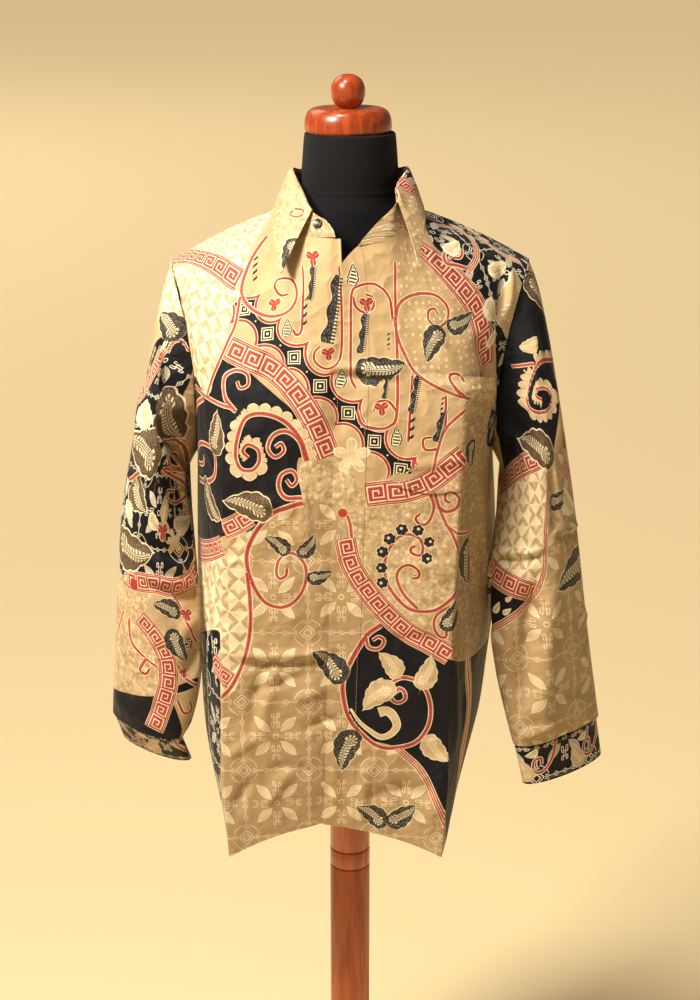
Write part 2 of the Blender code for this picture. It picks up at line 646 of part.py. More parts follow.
def build_buttons(shirt, finish):
    place, share = COLLAR_BUTTON
    step = 0.05
    centre = stand_point(place, share)
    over = stand_point(place + step, share) - stand_point(place - step, share)
    up = stand_point(place, share + step) - stand_point(place, share - step)
    build_button(shirt, "collar_button", centre, up.cross(over).normalized(), finish)
    for name, rings, side in (("left", CUFF_LEFT, 1), ("right", CUFF_RIGHT, -1)):
        centre = cuff_point(rings, 0.5, CUFF_BUTTON)
        over = cuff_point(rings, 0.5, CUFF_BUTTON + 0.02) - cuff_point(rings, 0.5, CUFF_BUTTON - 0.02)
        up = cuff_point(rings, 0, CUFF_BUTTON) - cuff_point(rings, 1, CUFF_BUTTON)
        normal = up.cross(over).normalized() * side
        build_button(shirt, f"cuff_button_{name}", centre, normal, finish)


# ---- the dress form -----------------------------------------------------------------------------


def build_torso(shirt, jersey):
    """A smooth covered form with no limbs: rounded rings from its foot to the top of its neck."""
    rings = []
    for ring in TORSO:
        middle = (ring.front_y + ring.back_y) / 2
        half_deep = (ring.back_y - ring.front_y) / 2
        row = []
        for turn in range(TORSO_ROUND):
            angle = 2 * pi * turn / TORSO_ROUND
            wide = copysign(abs(cos(angle)) ** (2 / ring.power), cos(angle))
            deep = copysign(abs(sin(angle)) ** (2 / ring.power), sin(angle))
            row.append(Vector((ring.half_wide * wide, middle + half_deep * deep, ring.z)))
        rings.append(row)
    mesh = bmesh.new()
    rows = [[mesh.verts.new(point) for point in ring] for ring in rings]
    for low, high in zip(rows, rows[1:]):
        for i in range(TORSO_ROUND):
            j = (i + 1) % TORSO_ROUND
            mesh.faces.new((low[i], low[j], high[j], high[i]))
    mesh.faces.new(rows[0][::-1])
    mesh.faces.new(rows[-1])
    made = bpy.data.meshes.new("torso")
    mesh.to_mesh(made)
    mesh.free()
    add(shirt, "torso", made, jersey)


def rounded_rim(radius, top, bottom, rounding, steps=5):
    """The outer side of a disc with rounded edges, from its top to its bottom."""
    rim = radius - rounding
    turns = shares(steps, 0, pi / 2)
    upper = [(rim + rounding * sin(a), top - rounding * (1 - cos(a))) for a in turns]
    lower = [(rim + rounding * cos(a), bottom + rounding * (1 - sin(a))) for a in turns]
    return upper + lower


def build_wood(shirt, wood):
    floor = CAP_TOP - CAP_DISH
    ball = [(0, BALL_CENTRE + BALL_HALF_HIGH)]
    for angle in shares(BALL_STEPS, 0, pi)[1:-1]:
        wide = sin(angle) ** (2 / BALL_POWER)
        high = copysign(abs(cos(angle)) ** (2 / BALL_POWER), cos(angle))
        if angle < pi / 2 or BALL_RADIUS * wide > BALL_NECK:
            ball.append((BALL_RADIUS * wide, BALL_CENTRE + BALL_HALF_HIGH * high))
    ball += [(BALL_NECK, floor + SEAM_GAP), (0, floor + SEAM_GAP)]
    turned(shirt, "finial", ball, wood).location.x = CAP_LEAN
    foot = NECK_TOP + SEAM_GAP
    cap = [(0, floor), (CAP_DISH_RADIUS - CAP_DISH, floor)]
    cap += [(radius * CAP_RADIUS, foot + rise * (CAP_TOP - foot)) for radius, rise in CAP_PROFILE]
    turned(shirt, "neck_cap", cap + [(0, foot)], wood).location.x = CAP_LEAN
    top, bottom = TORSO_BOTTOM - SEAM_GAP, BASE_HEIGHT + SEAM_GAP
    post = [(0, top), (POST_RADIUS, top)]
    for groove in POST_GROOVES:
        post += [(POST_RADIUS, groove + GROOVE_HALF), (POST_RADIUS - GROOVE_DEPTH, groove),
                 (POST_RADIUS, groove - GROOVE_HALF)]
    turned(shirt, "post", post + [(POST_RADIUS, bottom), (0, bottom)], wood)
    base = [(0, BASE_HEIGHT), (BASE_STEP_RADIUS, BASE_HEIGHT)]
    base += rounded_rim(BASE_RADIUS, BASE_HEIGHT - BASE_STEP, 0, BASE_ROUND)
    turned(shirt, "base", base + [(0, 0)], wood)


def main():
    for old in list(bpy.data.objects):
        bpy.data.objects.remove(old)
    shirt = bpy.data.collections.new("batik_shirt_on_dress_form")
    bpy.context.scene.collection.children.link(shirt)
    cloth = material("Batik cotton", (0.55, 0.40, 0.22), 0.62)
    build_fronts(shirt, cloth)
    build_fly(shirt, cloth)
    build_back(shirt, cloth)
    build_sleeves(shirt, cloth)
    build_cuffs(shirt, cloth)
    build_stand(shirt, cloth)
    build_leaf(shirt, cloth)
    build_pocket(shirt, cloth)
    build_buttons(shirt, material("Dark button", (0.03, 0.03, 0.05), 0.3))
    build_torso(shirt, material("Black jersey", (0.012, 0.013, 0.016), 0.9))
    build_wood(shirt, material("Polished orange wood", (0.50, 0.13, 0.03), 0.25))


main()
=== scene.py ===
"""A batik shirt on a limbless dress form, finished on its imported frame.

Lengths are in metres, +Z is up and the shirt's front faces -Y; left and right are the wearer's. Every
cloth piece is a thin shell lofted through the same stations as its solid, with its creases laid in as
soft ridges and troughs. The print is drawn on a flat plane of cloth: regions, borders, scrolls and
leaves are placed by the tables below, each face keeps its place on the nearest of them, and the
material draws their lines.
"""

from collections import namedtuple
from math import cos, pi, radians, sin

import bpy
import numpy as np
from bpy.props import FloatProperty, FloatVectorProperty, PointerProperty
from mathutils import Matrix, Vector
from mathutils.kdtree import KDTree


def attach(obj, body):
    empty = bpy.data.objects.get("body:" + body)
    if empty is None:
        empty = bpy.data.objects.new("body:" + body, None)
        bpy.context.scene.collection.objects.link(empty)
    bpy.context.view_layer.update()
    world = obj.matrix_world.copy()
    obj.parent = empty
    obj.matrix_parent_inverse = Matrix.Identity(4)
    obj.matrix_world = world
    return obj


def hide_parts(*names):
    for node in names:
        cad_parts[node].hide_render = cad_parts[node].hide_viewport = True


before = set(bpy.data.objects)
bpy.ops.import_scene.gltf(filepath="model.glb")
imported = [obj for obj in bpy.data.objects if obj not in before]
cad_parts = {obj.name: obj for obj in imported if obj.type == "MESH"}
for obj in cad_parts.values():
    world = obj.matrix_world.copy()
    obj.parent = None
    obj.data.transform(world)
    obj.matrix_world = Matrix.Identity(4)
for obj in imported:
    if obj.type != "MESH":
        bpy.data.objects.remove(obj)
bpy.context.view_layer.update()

bl_info = {
    "name": "Batik Shirt on Dress Form",
    "version": (1, 0, 0),
    "blender": (4, 5, 0),
    "location": "View3D > Sidebar > Shirt",
    "description": "Builds a batik shirt, the dress form that it hangs on and a plain studio",
    "category": "Add Mesh",
}

# ---- sizes of the cloth -------------------------------------------------------------------------

WALL = 0.0010  # every cloth wall
SEAM_GAP = 0.0003  # between two pieces that are sewn or that touch
LAP_DROP = 0.0032  # how far the right front lies under the fly band
LAP_FADE = 0.08  # share of the right front's width over which it dips
FLY_WIDTH = 0.036  # edge of the left front to the fly's stitch line
FLY_SEAM = 0.0015  # share of the left front's width between the fly and the front it is sewn to
UNDERLAP_REACH = 0.92  # share of the fly's width that the right front runs on under it
UNDERLAP_COLUMNS = 12  # of its grid, for that
TOP_INSET = 0.012  # level of a panel's top row, half a seam's gap below the shoulder and neck seams

CUFF_LAP = 0.09  # share of the cuff's round that overlaps itself
CUFF_LAP_LIFT = 0.0030
CUFF_START = radians(-106)  # at the back of the wrist
COLLAR_BUTTON = (0.72, 0.58)  # place along the collar stand, share of its height
CUFF_BUTTON = 0.9595  # share along the cuff's strip

# ---- stations of the body -----------------------------------------------------------------------
# Each level is one line of the cloth from the front edge to the side: level 0 is the neckline and the
# shoulder seam, levels 1 to 4 end on the armhole, level 5 at the underarm, level 10 is the hem.

Station = namedtuple("Station", "x_right x_left y z")


def in_metres(row):
    return tuple(value / 1000 for value in row)


def station_table(*rows):
    """Stations from rows in mm."""
    return tuple(Station(*in_metres(row)) for row in rows)


def ring_table(*rows):
    """Rings of a sleeve or a cuff from rows in mm, each with its turn in degrees at the end."""
    return tuple(Ring(*in_metres(row[:8]), row[8]) for row in rows)


def fold_table(*rows):
    """Folds of the collar from rows in mm: the seam, the top and, where the leaf is, its outer edge."""
    rows = [in_metres(row) for row in rows]
    return tuple(Fold(row[:3], row[3:6], row[6:] or None) for row in rows)


NECKLINE_RIGHT = (  # in metres, from the front edge to the neck point on the shoulder
    (-0.013, -0.11, 1.397), (-0.028, -0.104, 1.396), (-0.05, -0.09, 1.396), (-0.07, -0.048, 1.402),
    (-0.079, 0.015, 1.412),
)
NECKLINE_LEFT = (
    (-0.0145, -0.122, 1.364), (0.012, -0.108, 1.39), (0.045, -0.094, 1.394), (0.068, -0.05, 1.402),
    (0.079, 0.015, 1.412),
)
CENTRE = station_table(
    (-13, -13, -124, 1362), (-13.5, -13.5, -133, 1310), (-15.5, -15.5, -140, 1250),
    (-17.5, -17.5, -144, 1190), (-19, -19, -145, 1140), (-20.5, -20.5, -145, 1085),
    (-22.5, -22.5, -144, 1020), (-25, -25, -144, 940), (-27.5, -27.5, -143, 855), (-30, -30, -140, 770),
    (-32.5, -32.5, -134, 688),
)
MIDDLE = station_table(
    (-50, 50, -92, 1390), (-62, 56, -113, 1342), (-72, 60, -134, 1262), (-80, 60, -144, 1195),
    (-82, 59, -146, 1142), (-83, 57, -146, 1085), (-85, 55, -145, 1018), (-87, 52, -145, 936),
    (-89, 50, -144, 848), (-90, 48, -143, 758), (-92, 47, -140, 674),
)
CREASE = station_table(
    (-79, 79, 15, 1412), (-106, 100, -70, 1374), (-133, 118, -112, 1286), (-142, 126.5, -136, 1205),
    (-144, 126.5, -140, 1145), (-145, 124.5, -141, 1085), (-146.5, 122, -141, 1017),
    (-148.5, 119, -142, 934), (-150, 117, -143, 842), (-150, 115, -146, 746), (-145.7, 110, -150, 652),
)
STRIP = station_table(
    (-145, 145, 15, 1386), (-160, 156, -52, 1358), (-168, 157, -87, 1284), (-170, 157, -96, 1206),
    (-170, 156, -90, 1146), (-170, 155, -82, 1095), (-173, 156, -76, 1026), (-176, 156, -72, 940),
    (-177, 150, -72, 850), (-172, 141, -76, 762), (-150, 124, -82, 670),
)
SIDE = station_table(  # levels 5 to 10; above them the edge is the armhole
    (-184, 172, 0, 1125), (-186, 177, 0, 1045), (-187, 179.5, 0, 950), (-184.5, 171, 0, 860),
    (-176, 159, 0, 770), (-152, 130, -2, 680),
)
BACK_CENTRE = station_table(
    (0, 0, 78, 1440), (0, 0, 100, 1365), (0, 0, 116, 1285), (0, 0, 122, 1210), (0, 0, 122, 1150),
    (0, 0, 119, 1095), (0, 0, 115, 1025), (0, 0, 113, 940), (0, 0, 115, 850), (0, 0, 116, 760),
    (0, 0, 110, 674),
)
BACK_MIDDLE = station_table(
    (-52, 52, 60, 1429), (-62, 62, 94, 1362), (-66, 66, 114, 1284), (-68, 68, 121, 1209),
    (-68, 68, 121, 1149), (-67, 67, 118, 1094), (-66, 66, 114, 1024), (-65, 65, 112, 939),
    (-64, 64, 114, 848), (-62, 62, 115, 757), (-60, 58, 112, 670),
)
BACK_CREASE = station_table(
    (-79, 79, 15, 1412), (-115, 112, 72, 1356), (-132, 128, 101, 1282), (-137, 132, 110, 1208),
    (-138, 132, 112, 1148), (-137, 131, 111, 1094), (-137, 130, 109, 1024), (-136, 128, 108, 938),
    (-133, 124, 109, 846), (-127, 118, 108, 754), (-118, 108, 103, 666),
)
BACK_STRIP = station_table(
    (-145, 145, 15, 1386), (-168, 164, 52, 1348), (-176, 166, 78, 1280), (-174, 164, 83, 1206),
    (-176, 165, 78, 1147), (-174, 164, 70, 1099), (-176, 166, 62, 1030), (-177, 167, 60, 942),
    (-173, 160, 60, 852), (-163, 148, 60, 762), (-144, 126, 56, 672),
)
CORNER = (1.0, 0.15, 0.1, 0.65, 0.9, 1.0, 1.0, 1.0, 1.0, 1.0, 1.0)  # how sharp the pressed front crease is
BACK_CORNER = (1.0, 0.1, 0.1, 0.2, 0.3, 0.35, 0.4, 0.45, 0.5, 0.5, 0.5)
STATION_PLACES = (0.0, 0.3, 0.6, 0.8, 1.0)  # of the five stations, along one level
UNDERARM_LEVEL = 5
HEM_LEVEL = 10
NECK_FADE = 1.0  # the level where the neckline's own curve has died out

# ---- rings of the sleeves -----------------------------------------------------------------------
# Each ring is a flattened round through its outer and its inner point, deep_front and deep_back from
# the line between them. The body presses the back of the upper sleeve flat.

Ring = namedtuple("Ring", "out_x out_y out_z in_x in_y in_z deep_front deep_back turn")  # turn in degrees

SLEEVE_LEFT = ring_table(
    (209, 0, 1354, 172, 0, 1125, 60, 60, 0), (220, -2, 1324, 183, -16, 1100, 64, 48, 6),
    (229, -4, 1275, 180, -34, 1072, 65, 34, 14), (237, -6, 1215, 177, -50, 1042, 64, 25, 22),
    (247, -6, 1145, 172, -62, 1008, 62, 24, 29), (259, -6, 1070, 169, -72, 966, 58, 26, 34),
    (272, -8, 985, 172, -80, 916, 52, 30, 36), (286, -12, 900, 182, -86, 856, 44, 32, 36),
    (300, -18, 825, 194, -90, 804, 33, 30, 36), (308, -22, 786, 201.5, -90, 772.5, 23, 23, 36),
)
SLEEVE_RIGHT = ring_table(
    (-209, 0, 1352, -184, 0, 1125, 60, 60, 0), (-217, -4, 1324, -196, -18, 1100, 64, 48, 6),
    (-225, -10, 1275, -195, -38, 1072, 66, 34, 14), (-234, -16, 1215, -191, -56, 1042, 66, 24, 22),
    (-246, -22, 1145, -187, -70, 1008, 64, 22, 29), (-258, -28, 1070, -184, -82, 966, 60, 24, 34),
    (-268.5, -36, 985, -182, -92, 916, 54, 28, 34), (-277.5, -46, 900, -183, -102, 860, 44, 30, 33),
    (-285, -54, 840, -193, -108, 813, 33, 30, 32), (-289, -56, 806.8, -204, -108, 790.5, 23, 23, 32),
)
CUFF_LEFT = ring_table(
    (306, -22, 784, 203, -90, 770, 20, 20, 34), (314, -24, 734, 214, -88, 720.5, 18, 18, 34),
)
CUFF_RIGHT = ring_table(
    (-287, -58, 804, -205, -106, 788, 20, 20, 30), (-282, -30, 762.8, -197, -78, 748.1, 18, 18, 30),
)
ARMHOLE_GAP = 0.0007  # between the sleeve's head and the body, where the walls turn a corner
UNDERARM_EXTRA = 1.6  # how much wider that gap is at the underarm, where the walls lie flat together
SCOOP_ROWS = 0.9  # of the sleeve's rings, over which the armhole's curve dies out
ARMHOLE_SCOOP = 0.014  # how far the armhole seam curves in, at the front and the back of the arm

# ---- collar -------------------------------------------------------------------------------------

Fold = namedtuple("Fold", "seam top fall")  # stand's seam, its top, and the leaf's outer edge

COLLAR = fold_table(  # from the wearer's right end, round the back of the neck, to the left end
    (-16.5, -109, 1398.5, -20, -100, 1411.5), (-41, -96, 1397.5, -41.6, -80, 1420.6, -76.7, -125, 1358.3),
    (-63, -69, 1400, -53, -46, 1437.5, -85, -80, 1387.8), (-75, -29, 1408, -65, -6, 1457, -89, -20, 1408.5),
    (-77.5, 20, 1417, -56.5, 30, 1453, -85, 30, 1417), (-50, 62, 1433, -40, 58, 1458, -56, 79, 1428),
    (0, 78, 1441, 0, 68, 1464, 0, 96, 1430), (50, 62, 1433, 40, 58, 1458, 56, 79, 1428),
    (77.5, 20, 1417, 53, 30, 1454, 82, 30, 1418), (74, -29, 1408, 64, -10, 1459, 86, -23, 1412),
    (60, -70, 1399, 52, -42, 1442.5, 85, -64, 1403.5), (40, -96, 1395, 52, -64, 1427.6, 75.6, -120, 1369.7),
    (10.5, -110, 1389, 18, -101, 1400.5),
)
STAND_CLEAR = -0.12  # how far its lower edge reaches under the neckline, as a share of its height
STAND_ROUND = 0.35  # how far its top corners are rounded back
LEAF_ROLL = ((0.0018, 0.0008), (0.0022, 0.0026), (0.0006, 0.0044))  # rise and reach of the fold
LEAF_BULGE = 0.0015
NECK_CENTRE_Y = -0.010

# ---- pocket -------------------------------------------------------------------------------------

POCKET = (  # across the left front, the levels of its top and foot, and how far its mouth stands open
    (0.27, 2.15, 4.42, 0), (0.44, 2.33, 4.6, 0.0005), (0.6, 2.53, 4.56, 0.002), (0.8, 2.64, 4.36, 0.011),
)
POCKET_LIFT = WALL + SEAM_GAP + 0.0004

# ---- dress form ---------------------------------------------------------------------------------

TORSO = tuple((*in_metres(row[:4]), row[4]) for row in (  # height, half width, front, back, power
    (780, 136, -88, 80, 2.3), (790, 144, -96, 87, 2.3), (880, 150, -106, 94, 2.3),
    (1000, 146, -108, 92, 2.3), (1100, 150, -116, 96, 2.3), (1200, 156, -120, 100, 2.3),
    (1270, 165, -108, 98, 2.2), (1315, 178, -88, 86, 2.1), (1340, 182, -74, 72, 2), (1356, 166, -64, 62, 2),
    (1372, 138, -60, 56, 2), (1388, 104, -60, 54, 2), (1400, 78, -60, 53, 2), (1416, 62, -60, 53, 2),
    (1434, 57, -57, 54, 2), (1462, 56.2, -56.2, 55, 2), (1496, 53.5, -53.5, 53.5, 2),
    (1501, 51.5, -51.5, 51.5, 2),
))

# ---- creases of the cloth -----------------------------------------------------------------------

CREASES = {  # in mm: start u, v, end u, v, how far it bows, its width and its height, below 0 for a trough
    "front": (
        (-256, 1341, -242, 1184, 0, 11, -4.7), (-235, 1352, -185, 1223, 0, 10, 3.4),
        (-32, 1256, 63, 1246, 2, 5.5, 4.2), (-32, 1248, 62, 1237, 2, 6, -3.4),
        (62, 1249, 198, 1202, 2, 5.5, 4.5), (-153, 913, -5, 921, -6, 6, 4.5),
        (-153, 903, -5, 908, -6, 8, -4.7), (-118, 802, -96, 914, 4, 9, -4.7),
        (-106, 795, -84, 911, 4, 9, 4.5), (-133, 853, -24, 893, 4, 7, -3.8),
        (-107, 766, -33, 757, 3, 8, -3.4), (-151, 776, -105, 808, 3, 7, 3.4),
        (-146, 704, -114, 758, 2, 8, -4.6), (-108, 707, -60, 775, 4, 9, 3.8),
        (-71, 853, -27, 865, 2, 6, 3.4), (-60, 814, -6, 832, 2, 6, -3.2),
        (-114, 1100, -57, 1087, 3, 8, 3.4), (-109, 1046, -23, 1027, 4, 9, -2.5),
        (-53, 1148, -52, 1028, 0, 6, 2.5), (-95, 1028, -59, 930, 6, 12, 3.8),
        (-17, 813, -17, 691, 0, 6, 2.5), (7, 721, 110, 737, 6, 10, -3.8), (13, 682, 27, 788, 3, 9, 3.8),
        (69, 676, 61, 763, 3, 9, -3.8), (101, 672, 117, 776, 3, 10, 4.5), (147, 1129, 184, 899, 2, 9, -4.7),
        (172, 1136, 236, 864, 2, 8, 4.5), (160, 899, 192, 685, 0, 10, -4.7),
        (120, 928, 145, 764, 0, 9, 4.2), (51, 1136, 145, 1148, 4, 7, 2.5), (35, 1028, 122, 1008, 4, 9, 2.9),
        (26, 929, 127, 925, 4, 8, -2.9), (19, 853, 107, 863, 4, 10, 2.9),
        (-135, 1331, -105, 1240, 4, 10, 2.9), (-60, 1296, -36, 1172, 4, 12, 2.9),
        (91, 1329, 129, 1247, -4, 11, 3.4), (149, 1289, 196, 1187, 3, 8, -4.7),
        (224, 1352, 186, 1271, 2, 7, -4.7), (241, 1351, 204, 1277, 2, 6, 4.5),
        (-222, 993, -186, 850, 2, 8, -4.7), (-178, 1015, -163, 848, 0, 6, 4.5),
    ),
    "sleeve_left": (
        (-127, 247, -16, 253, -3, 4.2, 5.5), (-125, 240, -16, 246, -3, 6, -4.6),
        (-15, 273, 69, 259, -2, 4.5, 5.5), (-15, 266, 72, 250, -2, 6, -3.8),
        (-30, 237, -61, 14, -10, 14, -12.6), (-5, 232, -36, 0, -6, 12, 7.6), (2, 164, 72, 131, 2, 6, 3.4),
        (-60, 140, -28, 125, 2, 8, -3.4), (-73, 74, -47, 31, 2, 10, 4.2), (-23, 55, 44, 43, 3, 10, -4.2),
        (-71, 13, -13, 28, -2, 6, 4.6), (-35, 1, 60, 4, -2, 6, -3.8), (72, 466, 35, 355, 2, 10, 4.6),
        (97, 537, 62, 456, 2, 10, -4.6), (-78, 401, -2, 365, 3, 9, -3.8), (-37, 438, 6, 406, 3, 10, 3.4),
        (5, 364, -2, 257, 0, 8, -5.9), (220, 470, 340, 360, 6, 11, -6.7), (200, 420, 330, 300, 6, 11, 5.5),
        (180, 330, 300, 260, 4, 10, -4.8), (200, 200, 330, 240, -4, 11, 4.8),
        (150, 130, 280, 170, -4, 11, -4.8), (160, 60, 240, 100, 2, 10, 3.9), (-90, 420, -30, 330, 4, 10, 5),
        (-80, 200, -20, 160, 3, 10, -4.3),
    ),
    "sleeve_right": (
        (-40, 439, 43, 426, -3, 9, -6.3), (-49, 420, 57, 407, -3, 9, 5.5),
        (-13, 397, 151, 332, -4, 10, -7.1), (-30, 382, 132, 319, -4, 10, 5.5),
        (-90, 519, -27, 501, 2, 10, 4.2), (-77, 483, 7, 434, 2, 9, -5), (86, 350, 131, 256, 2, 10, 5.9),
        (-69, 310, 49, 295, 3, 10, -3.8), (-11, 245, 115, 220, 4, 9, -4.6), (-21, 230, 105, 208, 4, 8, 4.2),
        (9, 205, 116, 196, -3, 6, 4.2), (9, 196, 113, 187, -3, 7, -4.2), (61, 176, 113, 182, 2, 8, -5),
        (61, 128, 105, 160, 3, 9, 5), (62, 78, 97, 124, 2, 9, -5.5), (-21, 161, 4, 70, 3, 11, 3.8),
        (-42, 35, 44, 31, 4, 10, -3.8), (-9, -5, 47, -8, 2, 6, 4.2), (205, 470, 316, 360, 6, 11, -6.7),
        (186, 420, 307, 300, 6, 11, 5.5), (167, 330, 279, 260, 4, 10, -4.8),
        (186, 200, 307, 240, -4, 11, 4.8), (140, 130, 260, 170, -4, 11, -4.8),
        (149, 60, 223, 100, 2, 10, 3.9), (-84, 420, -28, 330, 4, 10, 5), (-74, 200, -19, 160, 3, 10, -4.3),
    ),
    "back": (
        (-220, 1020, 220, 1030, 6, 6, 3.1), (-220, 1012, 220, 1022, 6, 7, -2.5),
        (-200, 860, 190, 850, -4, 6, 2.5), (-235, 1360, -200, 1150, 6, 12, -5),
        (225, 1360, 200, 1150, -6, 12, -5), (-210, 1330, -170, 1120, 6, 12, 3.4),
        (205, 1330, 165, 1120, -6, 12, 3.4), (-160, 1180, -30, 980, 10, 13, 3.1),
        (150, 1200, 20, 1000, -10, 13, 3.1), (-120, 800, -170, 660, 6, 11, -3.6),
        (100, 820, 160, 660, -6, 11, -3.6), (-30, 780, -50, 650, 4, 11, 3.4),
        (40, 780, 60, 650, -4, 11, 3.1), (-200, 980, -80, 900, 8, 10, -2.8),
        (200, 980, 70, 900, -8, 10, -2.8), (0, 1300, 0, 1060, 0, 12, 2), (-220, 900, -200, 680, 4, 10, 4.2),
        (210, 900, 190, 680, -4, 10, 4.2),
    ),
}

# ---- the print ----------------------------------------------------------------------------------
# Places are u, v, u, v and so on, in mm on flat cloth. The front's u is 0 at the middle and grows to the
# wearer's left, and its v is the height above the floor. A sleeve's u is 0 down its front, and its v is 0
# at its hem. The cuff, the stand and the leaf have u along them and v down from their upper edge.

REGIONS = {  # each its looks and its outline
    "front": (
        ("black", (-244, 1190, -176, 1212, -163, 1238, -148, 1271, -116, 1249, -82, 1222, -61, 1201, -48,
            1156, -58, 1153, -60, 1134, -55, 1103, -74, 1094, -101, 1079, -115, 1064, -150, 1055, -300,
            979)),
        ("black", (185, 1478, 137, 1411, 147, 1373, 171, 1332, 180, 1287, 199, 1217, 216, 1179, 179, 1192,
            190, 1139, 293, 1111, 263, 1303, 330, 1372, 246, 1458)),
        ("black", (33, 951, 8, 919, -7, 881, -1, 833, 22, 805, 56, 793, 87, 762, 113, 709, 134, 654, 211,
            643, 287, 820, 130, 899, 88, 923, 59, 942)),
        ("black lattice", (-294, 866, -269, 875, -192, 924, -160, 937, -155, 923, -156, 876, -158, 825,
            -162, 772, -174, 714, -180, 673, -223, 677)),
        ("lattice", (186, 1480, 137, 1411, 147, 1373, 171, 1332, 180, 1287, 199, 1217, 216, 1179, 179,
            1192, 190, 1139, 293, 1111, 263, 1303, 330, 1372, 246, 1463)),
        ("pinwheel", (-320, 1358, -276, 1347, -226, 1353, -153, 1347, -140, 1333, -139, 1307, -148, 1286,
            -158, 1257, -176, 1213, -283, 1192)),
        ("pinwheel", (-281, 1381, -220, 1461, -182, 1489, -159, 1435, -156, 1395, -151, 1367, -201, 1366)),
        ("pinwheel", (-290, 958, -151, 1035, -126, 1061, -113, 1064, -119, 1033, -116, 979, -117, 939,
            -126, 902, -152, 857, -280, 861)),
        ("lattice", (-162, 636, -166, 719, -158, 787, -154, 856, -125, 904, -116, 939, -119, 1033, -108,
            1064, -86, 1088, -54, 1101, -22, 1094, -9, 1064, -5, 1028, 14, 989, 33, 964, 26, 944, 3, 916,
            -8, 878, -4, 832, 19, 801, 55, 789, 85, 758, 109, 709, 122, 636)),
        ("floral", (-54, 1151, -23, 1153, 2, 1145, 14, 1110, 68, 1115, 109, 1136, 136, 1154, 161, 885, 116,
            910, 68, 940, 42, 964, 17, 996, 1, 1025, -5, 1054, -9, 1076, -22, 1100, -55, 1101)),
        ("dots", (80, 1397, 132, 1375, 151, 1345, 164, 1305, 168, 1258, 178, 1225, 130, 1217, 100, 1232,
            74, 1250, 58, 1282, 54, 1308, 62, 1341, 64, 1372)),
        ("brown", (131, 1225, 176, 1208, 218, 1117, 287, 820, 205, 866, 122, 902, 123, 989, 128, 1074)),
    ),
    "sleeve_left": (
        ("black", (84, 587, 155, 600, 117, 495, 79, 448, 15, 363, -40, 364, -137, 338, -155, 312)),
        ("pinwheel", (-162, 334, -136, 334, -28, 360, 1, 349, -12, 313, -21, 273, -25, 230, -38, 192, -76,
            213, -124, 231)),
        ("black", (-121, 215, -83, 203, -51, 189, -53, 181, -92, 154, -112, 148)),
        ("lattice", (4, 355, 25, 361, 135, 362, 96, -78, -113, -53, -112, 146, -92, 154, -53, 181, -35,
            198, -25, 230, -21, 273)),
    ),
    "sleeve_right": (
        ("pinwheel", (-163, 560, -101, 561, -22, 501, -37, 489, -78, 498, -123, 476)),
        ("black", (-52, 485, -22, 501, 143, 220, 118, 217, 95, 199, 66, 193, 31, 196, -12, 195, -75, 199,
            -111, 347, -75, 397, -78, 464)),
        ("lattice", (-78, 464, 49, 427, 134, 226, 96, 204, 31, 201, -63, 199, -97, 359, -75, 397)),
        ("floral", (-74, 193, -12, 192, 31, 193, 25, 168, 10, 151, 29, 133, 42, 107, 42, 78, 36, 52, 24,
            10, -67, -28)),
        ("black", (46, 67, 96, 75, -166, -3, 45, -8)),
    ),
    "leaf": (
        ("floral", (-340, 20, -100, 20, -100, -100, -340, -100)),
        ("dots", (170, 20, 340, 20, 340, -100, 200, -100)),
        ("black lattice", (-50, 20, 140, 20, 154, -30, 178, -100, -50, -100)),
    ),
    "cuff": (
        ("black lattice", (-20, 20, 340, 20, 340, -80, -20, -80)),
    ),
    "stand": (
        # The stand's brown ground is painted shade, for the shadow that the collar's leaf casts on it; its
        # dots are print.
        ("brown", (-40, 40, 560, 40, 560, -100, -40, -100)),
        ("dots", (-20, 20, 540, 20, 540, -80, -20, -80)),
    ),
}

BANDS = {  # each a look, the half width of its figure and its middle line
    "front": (
        ("key", 12, (-308, 1358, -304, 1364, -276, 1366, -235, 1361, -186, 1359, -150, 1353)),
        ("key", 12, (-146, 1276, -120, 1266, -88, 1253, -63, 1230, -41, 1195, -24, 1153)),
        ("key", 12, (109, 1402, 131, 1373, 147, 1346, 161, 1316, 167, 1285, 170, 1257, 175, 1233)),
        ("key", 12, (18, 1108, 41, 1111, 66, 1114, 89, 1123, 109, 1138, 130, 1154)),
        ("key", 10.5, (-6, 1056, 1, 1025, 17, 996, 42, 964, 68, 940, 91, 927, 118, 910)),
        ("key", 10, (-293, 967, -150, 1044)),
        ("key", 10, (-146, 1064, -130, 1072, -115, 1082)),
        ("key", 9, (-170, 899, -135, 874)),
        ("chain", 1, (-145, 1330, -136, 1323, -98, 1292, -64, 1267, -34, 1235, -3, 1205, 27, 1172, 56,
            1140, 59, 1134)),
    ),
    "sleeve_left": (
        ("key", 11, (-147, 322, -83, 346, -26, 359, 7, 363)),
        ("key", 11, (-126, 230, -100, 218, -70, 207, -41, 196)),
        ("key", 10, (38, 345, 74, 305, 81, 261)),
    ),
    "sleeve_right": (
        ("key", 10, (-12, 193, 37, 196, 66, 192, 95, 198, 117, 214, 132, 232)),
        ("key", 10, (10, 151, 29, 133, 42, 107, 42, 78, 36, 52, 24, 10)),
        ("key", 10, (-51, 470, -50, 449, -58, 428, -74, 393, -69, 366)),
    ),
    "leaf": (
        ("key", 9, (150, 15, 162, -30, 185, -90)),
        ("key", 9, (-60, 20, -45, -30, -50, -90)),
    ),
}

